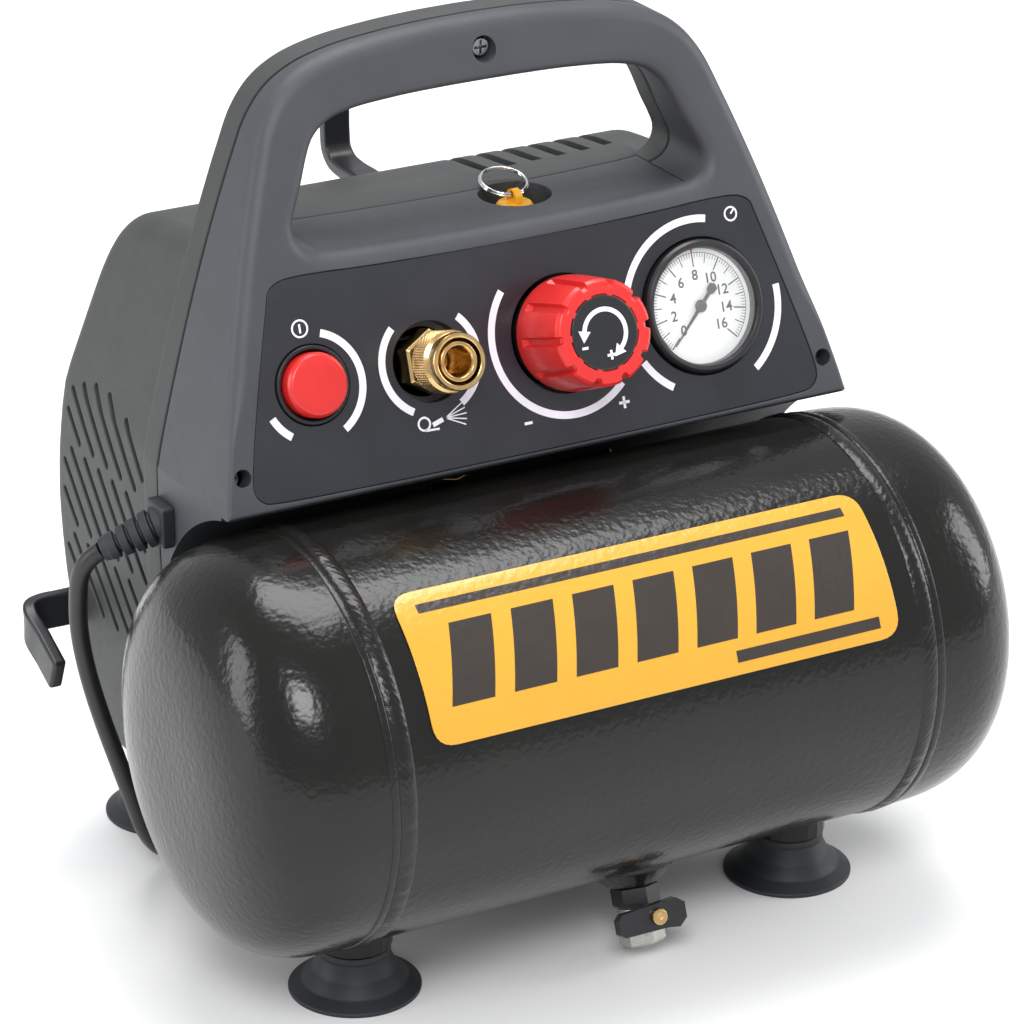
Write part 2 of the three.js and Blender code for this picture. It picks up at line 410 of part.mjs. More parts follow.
// ---------------------------------------------------------------- drain valve, square to the tank skin
{
  const drain = new THREE.Group();
  drain.position.set(DRAIN_X, 0, TANK_Z);
  drain.rotation.x = -DRAIN_TILT;
  compressor.add(drain);
  const skin = rod('x', TANK_R + GAP, TANK_R + GAP, -200, 200, 0, 0, 48);
  add('drain_boss', cut(solid(turnedGeo([[5.2, -85], [10.6, -85], [17, -78.5], [17, -74], [5.2, -74]], 18)), skin), 'tank', drain);
  let body = join(prismZ(ring(9.4, 6), -94, -85.4), rod('z', 4.6, 4.6, -87, -76.5, 0, 0, 12), rod('z', 8, 8, -101, -93.5, 0, 0, 16), solid(rodGeo('z', 9, 9, -109, -100.5, 0, 0, 6)),
    rod('y', 4.6, 4.6, -11, 0, 0, -97.2, 14));
  body = cut(body, rod('z', 3, 3, -115, -70, 0, 0, 12), rod('y', 2.3, 2.3, -20, 1, 0, -97.2, 12), rod('y', 5.3, 5.3, -5.6, 5.6, 0, -97.2, 12));
  add('drain_valve_body', body, 'steel', drain);
  const lever = join(rod('y', 2, 2, -15.5, -2, 0, -97.2, 8), rod('y', 5, 5, -5.3, 5.3, 0, -97.2, 12));
  const handleBar = solid(flatExtrude([[-15, -5], [4, -5.2], [9, -6], [12.5, -3], [12.5, 3], [9, 5.5], [4, 5.2], [-15, 4], [-17, 2], [-17, -3.4]], 4).rotateX(Math.PI / 2).translate(0, -11.5, -97.2));
  add('drain_valve_lever', cut(join(lever, handleBar), rod('z', 2.6, 2.6, -110, -80, 0, 0, 10)), 'black', drain);
  add('drain_lever_screw', cut(rod('y', 3.2, 3.2, -17.6, -15.8, 0, -97.2, 12), rod('y', 1.4, 1.4, -20, -16.9, 0, -97.2, 4)), 'brass', drain);
}

// ---------------------------------------------------------------- motor and pump
{
  add('motor_stator', cut(rod('x', 40, 40, -78, -22, MOTOR_Y, MOTOR_Z, 20), rod('x', 22.5, 22.5, -80, -20, MOTOR_Y, MOTOR_Z, 20)), 'iron');
  const shaft = join(rod('x', 5, 5, -112, 66, MOTOR_Y, MOTOR_Z, 12), rod('x', 21.6, 21.6, -76, -24, MOTOR_Y, MOTOR_Z, 16), rod('x', 13, 13, 51, 63, MOTOR_Y, MOTOR_Z + THROW, 14));
  add('motor_rotor', shaft, 'steel');
  let fan = rod('x', 11, 11, -108, -90, MOTOR_Y, MOTOR_Z, 14);
  for (let i = 0; i < 7; i++) {
    const blade = solid(boxGeo(-107, -92, -7, -5, 8, 38)).rotate([360 * i / 7, 0, 0]).translate([0, MOTOR_Y, MOTOR_Z]);
    fan = join(fan, blade);
  }
  fan = cut(fan, rod('x', 5.3, 5.3, -120, -80, MOTOR_Y, MOTOR_Z, 12));
  add('cooling_fan', fan, 'black');
  let crank = cut(rod('x', 33, 33, -6, 76, MOTOR_Y, MOTOR_Z, 18), rod('x', 29, 29, 0, 80, MOTOR_Y, MOTOR_Z, 18), rod('x', 6, 6, -10, 5, MOTOR_Y, MOTOR_Z, 16));
  crank = join(crank, cut(box(30, 84, MOTOR_Y - 27, MOTOR_Y + 27, 172, 190), rod('x', 33, 33, 20, 90, MOTOR_Y, MOTOR_Z, 18)), box(4, 70, MOTOR_Y - 22, MOTOR_Y + 22, 108, 124));
  crank = cut(crank, rod('z', 25.5, 25.5, 160, 200, CYL_X, MOTOR_Y, 18), rod('x', 28.6, 28.6, 0.5, 80, MOTOR_Y, MOTOR_Z, 18));
  crank = join(crank, cut(box(4, 70, MOTOR_Y - 16, MOTOR_Y + 16, 28.6, 110), box(10, 64, 100, 180, 34, 104)));
  add('crankcase', crank, 'alloy');
  let cyl = rod('z', 28, 28, 190.3, 228, CYL_X, MOTOR_Y, 18);
  for (let i = 0; i < 3; i++) cyl = join(cyl, prismZ(roundedRect(66, 58, 8, CYL_X, MOTOR_Y, 1), 197 + 10.5 * i, 200 + 10.5 * i));
  add('cylinder', cut(cyl, rod('z', 25, 25, 180, 240, CYL_X, MOTOR_Y, 20)), 'alloy');
  let head = prismZ(roundedRect(58, 50, 8, CYL_X, MOTOR_Y, 2), 228.4, 234);
  for (let i = 0; i < 5; i++) head = join(head, box(CYL_X - 28 + i * 13.2, CYL_X - 25.4 + i * 13.2, MOTOR_Y - 24, MOTOR_Y + 20, 233.5, 246));
  add('cylinder_head', head, 'alloy');
  const piston = join(rod('z', 24.5, 24.5, 211, 219, CYL_X, MOTOR_Y, 20), box(CYL_X - 5, CYL_X + 5, MOTOR_Y - 8, MOTOR_Y + 8, 194, 212));
  add('piston_rod', piston, 'alloy');
}

// ---------------------------------------------------------------- cord hooks
{
  const grow = shroudOuter.translate([0, GAP, 0]);
  const bar = [[150, 253.5], [186, 253.5], [193.5, 256.5], [197, 264], [197, 289], [194, 292], [191, 289], [191, 266], [188.5, 261.5], [184, 259.5], [150, 259.5]];
  add('cord_hook_upper', cut(prismX(bar, -6, 6), grow), 'black');
  const arm = [[-110, 172.6], [-152, 172.6], [-152, 150], [-149.5, 144], [-146.8, 146], [-146.8, 167.6], [-146.8, 168], [-110, 168]].reverse();
  let hook = join(
    prismZ([[-146, 170], [-110, 170], [-110, 176], [-150, 176], [-154, 173.5], [-155.5, 169], [-155.5, 162], [-149.5, 162], [-149.5, 170]], 88, 104));
  const tip = solid(new THREE.BoxGeometry(6, 36, 15).rotateX(0.42).translate(-152.5, 157, 89));
  hook = cut(join(hook, tip), shroudOuter.translate([-GAP, 0, 0]));
  hook = cut(hook, box(-128, -100, 160, 190, 80, 110));
  add('cord_hook_lower', hook, 'black');
}

// ---------------------------------------------------------------- mains cord: strain relief, hanging and lying run, put-away coil, plug
const reliefFrom = new THREE.Vector3(-134.2, 73, 171.5), reliefTo = new THREE.Vector3(-157, 82.6, 160.5);
{
  const dir = reliefTo.clone().sub(reliefFrom).normalize();
  const q = new THREE.Quaternion().setFromUnitVectors(AZ, dir);
  const L = reliefTo.distanceTo(reliefFrom);
  const m = new THREE.Matrix4().compose(reliefFrom, q, new THREE.Vector3(1, 1, 1));
  const prof = [[0, 3.5], [7.2, 3.5]];
  for (let i = 0; i < 3; i++) { const r = 6.9 - i * 0.6, h = 4 + i * 7.2; prof.push([r, h + 0.4], [r, h + 5], [r - 1.2, h + 5.6]); }
  prof.push([4.6, L - 1], [4.6, L], [0, L]);
  let relief = solid(turnedGeo(prof, 10).applyMatrix4(m));
  const flange = box(-139.5, -134.9, 65, 80, 163, 180);
  relief = join(relief, flange, solid(rodGeo('z', 5, 5, -6, 6, 0, 0, 10).applyMatrix4(m)));
  relief = meet(relief, box(-200, -134.85, 0, 200, 0, 300));
  add('cord_strain_relief', relief, 'rubber');
}
const LIE = CORD_D / 2 + 0.25;
const cordRoute = [
  [-157.29, 82.72, 160.36], [-158.98, 83.43, 159.55], [-161.7, 85.6, 156.4], [-163.6, 89, 149.5], [-163.2, 93, 138], [-162, 96.5, 126], [-159.8, 99, 113], [-156.5, 100.4, 98], [-151.5, 101.6, 80], [-145, 103.4, 60], [-138, 106.6, 40],
  [-130.5, 111.5, 21], [-121, 117, 9], [-108, 120.5, LIE + 0.4], [-92, 121.5, LIE], [-68, 121, LIE], [-40, 127, LIE], [-12, 146, LIE], [12, 172, LIE], [28, 196, LIE], [31.5, 214, LIE], [33.2, 230, LIE], [34.4, 240, LIE],
];
const CORD_COIL_R = 40;
const coilX = 90, coilY = 243;
{
  const curve = new THREE.CatmullRomCurve3(cordRoute.map((p) => new THREE.Vector3(...p)), false, 'centripetal');
  const sec = new THREE.Shape(ring(CORD_D / 2, 8, Math.PI / 8).map(([x, y]) => new THREE.Vector2(x, y)));
  // the rest of the lead is put away as a coil of five and a half turns in two layers
  add('power_cord_coil', turnedGeo([[CORD_COIL_R - 11.4, 0.3], [CORD_COIL_R + 11.4, 0.3], [CORD_COIL_R + 11.4, 15.6], [CORD_COIL_R - 11.4, 15.6]], 24), 'rubber').position.set(coilX, coilY, 0);
  const plug = join(rod('x', 17.5, 18.5, 0, 16, 0, 0, 18), rod('x', 5.5, 15, -30, 0.2, 0, 0, 12));
  const pins = join(rod('x', 2.4, 2.4, 15, 35, 9.5, 0, 10), rod('x', 2.4, 2.4, 15, 35, -9.5, 0, 10));
  add('power_plug', join(plug, pins), 'rubber').position.set(coilX + 14, coilY + 33, 15.9 + 18.6);
  add('power_cord', solid(new THREE.ExtrudeGeometry(sec, { steps: 30, bevelEnabled: false, extrudePath: curve })), 'rubber');
}

export default compressor;
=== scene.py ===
# Air compressor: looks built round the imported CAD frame. Lengths are written in millimetres in the
# tank's own frame (y = 0 on the tank axis) and turned into metres in the row frame by put().
import bpy
import bmesh
import math
import numpy as np
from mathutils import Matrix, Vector
from mathutils.geometry import delaunay_2d_cdt


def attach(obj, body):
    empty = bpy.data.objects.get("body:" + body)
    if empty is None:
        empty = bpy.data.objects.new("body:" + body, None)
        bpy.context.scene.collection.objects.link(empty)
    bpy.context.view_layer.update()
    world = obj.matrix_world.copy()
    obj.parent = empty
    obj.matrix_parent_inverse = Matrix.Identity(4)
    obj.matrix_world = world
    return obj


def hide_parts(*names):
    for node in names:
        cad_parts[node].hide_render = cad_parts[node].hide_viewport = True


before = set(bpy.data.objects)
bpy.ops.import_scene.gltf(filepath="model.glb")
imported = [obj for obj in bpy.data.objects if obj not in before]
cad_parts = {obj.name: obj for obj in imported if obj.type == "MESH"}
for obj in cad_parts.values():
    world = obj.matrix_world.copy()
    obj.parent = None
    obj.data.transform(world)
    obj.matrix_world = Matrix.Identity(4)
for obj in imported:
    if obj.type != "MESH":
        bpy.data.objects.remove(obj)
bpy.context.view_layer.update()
YS, MM = -58.05, 0.001
TZ = 107.3
RAKE = math.radians(18.9)
TAN = math.tan(RAKE)


# ------------------------------------------------------------------ camera
def make_camera():
    a, e = math.radians(-29.06), math.radians(23.37)
    back = Vector((math.sin(a) * math.cos(e), -math.cos(a) * math.cos(e), math.sin(e)))
    cam = bpy.data.cameras.new("camera")
    cam.sensor_fit, cam.sensor_width, cam.lens = "HORIZONTAL", 36.0, 155.294
    cam.clip_start, cam.clip_end = 0.05, 60.0
    ob = bpy.data.objects.new("camera", cam)
    bpy.context.collection.objects.link(ob)
    ob.location = Vector((-26.85, YS, 180.04)) * MM + back * 1.6441
    ob.rotation_mode = "QUATERNION"
    ob.rotation_quaternion = back.to_track_quat("Z", "Y")
    bpy.context.scene.camera = ob
    bpy.context.scene.view_settings.view_transform = "Standard"


make_camera()


# ------------------------------------------------------------------ materials
def mat(name, color, rough=0.5, metal=0.0, var=0.1, vscale=70, rvar=0.06, rscale=150, bumps=(), coat=0.0,
        alpha=1.0, spec=0.5, wear=None, sheen=0.0):
    m = bpy.data.materials.new(name)
    m.use_nodes = True
    nt = m.node_tree
    nt.nodes.clear()
    out = nt.nodes.new("ShaderNodeOutputMaterial")
    b = nt.nodes.new("ShaderNodeBsdfPrincipled")
    nt.links.new(b.outputs[0], out.inputs[0])
    tc = nt.nodes.new("ShaderNodeTexCoord")
    b.inputs["Metallic"].default_value = metal
    b.inputs["Specular IOR Level"].default_value = spec
    b.inputs["Coat Weight"].default_value = coat
    b.inputs["Coat Roughness"].default_value = 0.08
    b.inputs["Alpha"].default_value = alpha
    n1 = nt.nodes.new("ShaderNodeTexNoise")
    n1.inputs["Scale"].default_value = vscale
    n1.inputs["Detail"].default_value = 6.0
    nt.links.new(tc.outputs["Object"], n1.inputs["Vector"])
    ramp = nt.nodes.new("ShaderNodeValToRGB")
    ramp.color_ramp.elements[0].position, ramp.color_ramp.elements[1].position = 0.3, 0.7
    ramp.color_ramp.elements[0].color = [c * (1 - var) for c in color] + [1]
    ramp.color_ramp.elements[1].color = [min(1.0, c * (1 + var)) for c in color] + [1]
    nt.links.new(n1.outputs["Fac"], ramp.inputs["Fac"])
    col = ramp.outputs["Color"]
    if wear:
        n3 = nt.nodes.new("ShaderNodeTexNoise")
        n3.inputs["Scale"].default_value = wear[0]
        n3.inputs["Detail"].default_value = 10.0
        nt.links.new(tc.outputs["Object"], n3.inputs["Vector"])
        r3 = nt.nodes.new("ShaderNodeValToRGB")
        r3.color_ramp.elements[0].position, r3.color_ramp.elements[1].position = wear[1], wear[1] + 0.06
        nt.links.new(n3.outputs["Fac"], r3.inputs["Fac"])
        mx = nt.nodes.new("ShaderNodeMix")
        mx.data_type = "RGBA"
        nt.links.new(r3.outputs["Color"], mx.inputs[0])
        nt.links.new(col, mx.inputs[6])
        mx.inputs[7].default_value = list(wear[2]) + [1]
        col = mx.outputs[2]
    nt.links.new(col, b.inputs["Base Color"])
    n2 = nt.nodes.new("ShaderNodeTexNoise")
    n2.inputs["Scale"].default_value = rscale
    n2.inputs["Detail"].default_value = 5.0
    nt.links.new(tc.outputs["Object"], n2.inputs["Vector"])
    mr = nt.nodes.new("ShaderNodeMapRange")
    mr.inputs["To Min"].default_value = max(0.02, rough - rvar)
    mr.inputs["To Max"].default_value = min(1.0, rough + rvar)
    nt.links.new(n2.outputs["Fac"], mr.inputs["Value"])
    nt.links.new(mr.outputs[0], b.inputs["Roughness"])
    last = None
    for kind, scale, strength, dist in bumps:
        if kind == "voronoi":
            t = nt.nodes.new("ShaderNodeTexVoronoi")
            o = t.outputs["Distance"]
        elif kind == "wave":
            t = nt.nodes.new("ShaderNodeTexWave")
            t.inputs["Distortion"].default_value = 1.5
            o = t.outputs["Fac"]
        else:
            t = nt.nodes.new("ShaderNodeTexNoise")
            t.inputs["Detail"].default_value = 4.0 if kind == "noise" else 1.0
            o = t.outputs["Fac"]
        t.inputs["Scale"].default_value = scale
        nt.links.new(tc.outputs["Object"], t.inputs["Vector"])
        bp = nt.nodes.new("ShaderNodeBump")
        bp.inputs["Strength"].default_value = strength
        bp.inputs["Distance"].default_value = dist
        nt.links.new(o, bp.inputs["Height"])
        if last:
            nt.links.new(last.outputs[0], bp.inputs["Normal"])
        last = bp
    if last:
        nt.links.new(last.outputs[0], b.inputs["Normal"])
    return m


TANK = mat("tank_paint", (0.0066, 0.0064, 0.0056), 0.20, 0.0, var=0.15, vscale=35, rvar=0.05, rscale=90, spec=0.30,
           bumps=(("soft", 360, 0.34, 0.0006), ("noise", 900, 0.12, 0.0001)), coat=0.08)
BEAD = mat("weld_paint", (0.0072, 0.007, 0.0062), 0.24, 0.0, var=0.2, vscale=120, rvar=0.08, rscale=300, spec=0.32,
           bumps=(("noise", 420, 0.55, 0.0005),), coat=0.08)
FASCIA = mat("fascia_plastic", (0.042, 0.046, 0.053), 0.52, var=0.08, vscale=45, rvar=0.06, rscale=200,
             bumps=(("noise", 2600, 0.35, 0.00012), ("voronoi", 1500, 0.18, 0.0001)))
SHROUD = mat("shroud_plastic", (0.037, 0.040, 0.040), 0.56, var=0.1, vscale=45, rvar=0.06, rscale=200,
             bumps=(("noise", 2200, 0.45, 0.00015), ("voronoi", 1200, 0.22, 0.00012)))
PANEL = mat("panel_film", (0.017, 0.018, 0.024), 0.30, var=0.25, vscale=30, rvar=0.08, rscale=70,
            bumps=(("soft", 60, 0.06, 0.0004), ("noise", 2500, 0.05, 0.00005)), coat=0.1)
PRINT = mat("panel_print", (0.80, 0.78, 0.86), 0.45, var=0.03, vscale=300, bumps=(("noise", 3000, 0.1, 0.00003),))
RUBBER = mat("rubber_black", (0.013, 0.015, 0.019), 0.55, var=0.15, vscale=80, rvar=0.1, rscale=160,
             bumps=(("noise", 1600, 0.25, 0.0001),))
CORD = mat("cord_jacket", (0.011, 0.011, 0.012), 0.42, var=0.15, vscale=120, rvar=0.08, rscale=240,
           bumps=(("noise", 1400, 0.15, 0.00008),))
BLACK = mat("black_plastic", (0.011, 0.0115, 0.013), 0.36, var=0.12, vscale=90, rvar=0.08, rscale=260,
            bumps=(("noise", 2200, 0.2, 0.00006),))
RED = mat("red_plastic", (0.62, 0.018, 0.016), 0.36, var=0.06, vscale=70, rvar=0.07, rscale=300,
          bumps=(("noise", 1500, 0.12, 0.00008),), coat=0.15)
BRASS = mat("turned_brass", (0.66, 0.45, 0.20), 0.22, 1.0, var=0.12, vscale=220, rvar=0.08, rscale=500,
            bumps=(("noise", 1800, 0.15, 0.00004),), wear=(160, 0.60, (0.45, 0.28, 0.10)))
NICKEL = mat("nickel_plate", (0.50, 0.49, 0.45), 0.26, 1.0, var=0.1, vscale=260, rvar=0.08, rscale=500,
             bumps=(("noise", 1500, 0.15, 0.00004),), wear=(240, 0.62, (0.28, 0.26, 0.22)))
SCREW = mat("zinc_screw", (0.20, 0.20, 0.21), 0.34, 1.0, var=0.15, vscale=400, rvar=0.1, rscale=700,
            bumps=(("noise", 2400, 0.2, 0.00004),))
CHROME = mat("chrome_wire", (0.72, 0.72, 0.72), 0.12, 1.0, var=0.04, vscale=400, rvar=0.05, rscale=700,
             bumps=(("noise", 1800, 0.08, 0.00003),))
YELLOW = mat("yellow_cap", (0.85, 0.40, 0.02), 0.36, var=0.07, vscale=200, bumps=(("noise", 1600, 0.15, 0.00006),))
LABEL = mat("label_film", (0.62, 0.325, 0.026), 0.26, var=0.03, vscale=40, rvar=0.06, rscale=80,
            bumps=(("soft", 340, 0.36, 0.0006), ("noise", 900, 0.10, 0.0001)), coat=0.3)
INK = mat("label_ink", (0.030, 0.022, 0.018), 0.26, var=0.1, vscale=60, rvar=0.06, rscale=80,
          bumps=(("soft", 340, 0.36, 0.0006), ("noise", 900, 0.10, 0.0001)), coat=0.3)
DIAL = mat("dial_white", (0.82, 0.83, 0.83), 0.5, var=0.02, vscale=200, bumps=(("noise", 1500, 0.05, 0.00003),))
DINK = mat("dial_ink", (0.02, 0.02, 0.022), 0.5, var=0.1, vscale=200, bumps=(("noise", 1500, 0.05, 0.00003),))
DRED = mat("dial_red", (0.62, 0.04, 0.03), 0.5, var=0.1, vscale=200, bumps=(("noise", 1500, 0.05, 0.00003),))
LENS = mat("clear_lens", (0.95, 0.97, 0.97), 0.06, var=0.01, vscale=80, rvar=0.03, rscale=60, alpha=0.07, spec=0.6,
           bumps=(("soft", 60, 0.03, 0.0002),))
ALLOY = mat("cast_alloy", (0.38, 0.38, 0.39), 0.48, 1.0, var=0.15, vscale=120, rvar=0.1, rscale=300,
            bumps=(("noise", 700, 0.4, 0.0002),))
IRON = mat("motor_iron", (0.10, 0.10, 0.105), 0.5, 0.8, var=0.25, vscale=120, bumps=(("wave", 900, 0.4, 0.0002),))
COPPER = mat("copper_tube", (0.55, 0.24, 0.12), 0.3, 1.0, var=0.15, vscale=160, bumps=(("noise", 700, 0.15, 0.0001),))
DARK = mat("inside_dark", (0.006, 0.006, 0.007), 0.7, var=0.2, vscale=60, bumps=(("noise", 900, 0.2, 0.0001),))


# ------------------------------------------------------------------ mesh helpers
class Mesh:
    def __init__(self):
        self.v, self.f, self.mi = [], [], []

    def add(self, pts):
        i = len(self.v)
        self.v.extend([tuple(float(c) for c in p) for p in pts])
        return list(range(i, i + len(pts)))

    def strip(self, loops, closed=True, m=0, skip=None):
        idx = [self.add(l) for l in loops]
        n = len(idx[0])
        for k, (a, b) in enumerate(zip(idx, idx[1:])):
            for i in range(n if closed else n - 1):
                if skip is not None and skip(k, i):
                    continue
                j = (i + 1) % n
                self.f.append((a[i], a[j], b[j], b[i]))
                self.mi.append(m)
        return idx

    def fill(self, loops, to3d, spacing=None, m=0):
        vs, es = [], []
        for L in loops:
            i0, n = len(vs), len(L)
            vs += [Vector((float(p[0]), float(p[1]))) for p in L]
            es += [(i0 + i, i0 + (i + 1) % n) for i in range(n)]
        if spacing:
            allp = np.array([tuple(p) for p in vs])
            lo, hi = allp.min(0), allp.max(0)
            gx = np.arange(lo[0] + spacing * 0.6, hi[0], spacing)
            gy = np.arange(lo[1] + spacing * 0.6, hi[1], spacing)
            g = np.array([(x + 0.13 * spacing * math.sin(3.1 * y), y) for y in gy for x in gx])
            g = g[inside(g, loops)]
            if len(g):
                keep = []
                for p in g:
                    keep.append(np.min(np.hypot(allp[:, 0] - p[0], allp[:, 1] - p[1])) > 0.5 * spacing)
                vs += [Vector((float(p[0]), float(p[1]))) for p in g[np.array(keep)]]
        out = delaunay_2d_cdt(vs, es, [], 0, 1e-6)
        v2 = np.array([tuple(p) for p in out[0]])
        fs = [f for f in out[2] if len(f) == 3]
        c = np.array([v2[list(f)].mean(0) for f in fs])
        ok = inside(c, loops)
        base = self.add(to3d(v2))[0]
        for f, k in zip(fs, ok):
            if k:
                self.f.append(tuple(base + i for i in f))
                self.mi.append(m)


def inside(pts, loops):
    pts = np.asarray(pts, float)
    res = np.zeros(len(pts), bool)
    for L in loops:
        L = np.asarray(L, float)
        a, b = L, np.roll(L, -1, 0)
        for (x0, y0), (x1, y1) in zip(a, b):
            if y0 == y1:
                continue
            c = ((y0 > pts[:, 1]) != (y1 > pts[:, 1]))
            xs = x0 + (pts[:, 1] - y0) * (x1 - x0) / (y1 - y0)
            res ^= c & (pts[:, 0] < xs)
    return res


def put(mesh, name, mats, body="base", node=(), angle=32, weighted=True, fix=True):
    me = bpy.data.meshes.new(name)
    v = np.array(mesh.v, float)
    v[:, 1] += YS
    v *= MM
    me.from_pydata([tuple(p) for p in v], [], mesh.f)
    mats = mats if isinstance(mats, (list, tuple)) else [mats]
    for mm in mats:
        me.materials.append(mm)
    for p, k in zip(me.polygons, mesh.mi):
        p.material_index = k
    bm = bmesh.new()
    bm.from_mesh(me)
    bmesh.ops.remove_doubles(bm, verts=bm.verts, dist=3e-6)
    bmesh.ops.dissolve_degenerate(bm, edges=bm.edges, dist=1e-7)
    if fix:
        bmesh.ops.recalc_face_normals(bm, faces=bm.faces)
    for f in bm.faces:
        f.smooth = True
    bm.to_mesh(me)
    bm.free()
    me.set_sharp_from_angle(angle=math.radians(angle))
    ob = bpy.data.objects.new(name, me)
    bpy.context.collection.objects.link(ob)
    if weighted:
        w = ob.modifiers.new("wn", "WEIGHTED_NORMAL")
        w.keep_sharp = True
        w.weight = 50
    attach(ob, body)
    if node:
        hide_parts(*([node] if isinstance(node, str) else node))
    return ob


def spline(pts, step=1.0, closed=False):
    P = np.asarray(pts, float)
    n = len(P)
    if closed:
        Q = np.vstack([P[-1], P, P[0], P[1]])
        segs = n
    else:
        Q = np.vstack([2 * P[0] - P[1], P, 2 * P[-1] - P[-2]])
        segs = n - 1
    out = []
    for i in range(segs):
        p0, p1, p2, p3 = Q[i], Q[i + 1], Q[i + 2], Q[i + 3]
        t0 = 0.0
        t1 = t0 + max(1e-6, np.linalg.norm(p1 - p0)) ** 0.5
        t2 = t1 + max(1e-6, np.linalg.norm(p2 - p1)) ** 0.5
        t3 = t2 + max(1e-6, np.linalg.norm(p3 - p2)) ** 0.5
        for t in np.linspace(t1, t2, 24, endpoint=False):
            a1 = (t1 - t) / (t1 - t0) * p0 + (t - t0) / (t1 - t0) * p1
            a2 = (t2 - t) / (t2 - t1) * p1 + (t - t1) / (t2 - t1) * p2
            a3 = (t3 - t) / (t3 - t2) * p2 + (t - t2) / (t3 - t2) * p3
            b1 = (t2 - t) / (t2 - t0) * a1 + (t - t0) / (t2 - t0) * a2
            b2 = (t3 - t) / (t3 - t1) * a2 + (t - t1) / (t3 - t1) * a3
            out.append((t2 - t) / (t2 - t1) * b1 + (t - t1) / (t2 - t1) * b2)
    out.append(P[0] if closed else P[-1])
    out = np.array(out)
    d = np.r_[0, np.cumsum(np.linalg.norm(np.diff(out, axis=0), axis=1))]
    m = max(2, int(round(d[-1] / step)))
    s = np.linspace(0, d[-1], m + 1)
    res = np.stack([np.interp(s, d, out[:, k]) for k in range(out.shape[1])], 1)
    return res[:-1] if closed else res


def offset(L, d, closed=True):
    """moves a counter-clockwise loop inwards by d, with mitred corners"""
    L = np.asarray(L, float)
    if closed:
        e1, e2 = L - np.roll(L, 1, 0), np.roll(L, -1, 0) - L
    else:
        e = np.diff(L, axis=0)
        e1, e2 = np.vstack([e[0], e]), np.vstack([e, e[-1]])
    n1 = np.stack([e1[:, 1], -e1[:, 0]], 1)
    n2 = np.stack([e2[:, 1], -e2[:, 0]], 1)
    n1 /= np.linalg.norm(n1, axis=1)[:, None] + 1e-12
    n2 /= np.linalg.norm(n2, axis=1)[:, None] + 1e-12
    k = 1 + np.sum(n1 * n2, 1)
    return L - (n1 + n2) / np.maximum(k, 0.3)[:, None] * np.asarray(d, float).reshape(-1, 1)


def mirror_half(half):
    half = np.asarray(half, float)
    other = half[::-1].copy()
    other[:, 0] *= -1
    return np.vstack([half, other[1:] if abs(half[-1, 0]) < 1e-9 else other])


def fillet(pts, r=0.6, k=4, closed=False):
    P = [np.array(p[:2], float) for p in pts]
    R = [(p[2] if len(p) > 2 else r) for p in pts]
    n, out = len(P), []
    for i in range(n):
        if not closed and i in (0, n - 1):
            out.append(P[i])
            continue
        a, b, c = P[i - 1], P[i], P[(i + 1) % n]
        u, v = a - b, c - b
        lu, lv = np.linalg.norm(u), np.linalg.norm(v)
        if R[i] <= 0 or lu < 1e-6 or lv < 1e-6:
            out.append(b)
            continue
        u, v = u / lu, v / lv
        ang = math.acos(max(-1, min(1, float(u @ v))))
        if ang > math.pi - 0.05:
            out.append(b)
            continue
        d = min(R[i] / math.tan(ang / 2), lu * 0.45, lv * 0.45)
        p0, p1 = b + u * d, b + v * d
        for j in range(k + 1):
            t = j / k
            out.append((1 - t) ** 2 * p0 + 2 * t * (1 - t) * b + t * t * p1)
    return np.array(out)


def lathe(mesh, prof, xf, seg=96, rfun=None, m=0, phase=0.0):
    """turns a profile of (radius, height) round the local z axis; rfun(r, h, angles) may change the radius"""
    ang = np.linspace(0, 2 * math.pi, seg, endpoint=False) + phase
    loops = []
    for r, h in prof:
        rr = np.full(seg, r, float) if rfun is None else rfun(r, h, ang)
        loops.append(xf(np.stack([rr * np.cos(ang), rr * np.sin(ang), np.full(seg, h)], 1)))
    mesh.strip(loops, True, m)


def at_panel(u0=0.0, v0=0.0, n0=0.0):
    s, c = math.sin(RAKE), math.cos(RAKE)

    def f(p):
        p = np.asarray(p, float)
        u, v, n = p[:, 0] + u0, p[:, 1] + v0, (p[:, 2] if p.shape[1] > 2 else 0 * p[:, 0]) + n0
        return np.stack([u, 32.1 + v * s - n * c, 232.5 + v * c + n * s], 1)
    return f


def along_x(side=1.0, y=0.0, z=TZ, x0=0.0):
    def f(p):
        p = np.asarray(p, float)
        return np.stack([x0 + side * p[:, 2], y + p[:, 0], z + p[:, 1]], 1)
    return f


def at(x=0.0, y=0.0, z=0.0):
    def f(p):
        p = np.asarray(p, float)
        return np.stack([p[:, 0] + x, p[:, 1] + y, p[:, 2] + z], 1)
    return f


def direction(origin, d):
    d = np.array(d, float)
    d /= np.linalg.norm(d)
    a = np.cross(d, (0, 0, 1.0))
    a /= np.linalg.norm(a)
    b = np.cross(d, a)
    o = np.array(origin, float)
    return lambda p: o + np.asarray(p)[:, :1] * a + np.asarray(p)[:, 1:2] * b + np.asarray(p)[:, 2:3] * d


# ------------------------------------------------------------------ mains cord, coil and plug
ROUTE = [[-157.29, 82.72, 160.36], [-158.98, 83.43, 159.55], [-161.7, 85.6, 156.4], [-163.6, 89, 149.5],
         [-163.2, 93, 138], [-162, 96.5, 126], [-159.8, 99, 113], [-156.5, 100.4, 98], [-151.5, 101.6, 80],
         [-145, 103.4, 60], [-138, 106.6, 40], [-130.5, 111.5, 21], [-121, 117, 9], [-108, 120.5, 4.25],
         [-92, 121.5, 3.85], [-68, 121, 3.85], [-40, 127, 3.85], [-12, 146, 3.85], [12, 172, 3.85],
         [28, 196, 3.85], [31.5, 214, 3.85], [33.2, 230, 3.85], [34.4, 240, 3.85]]


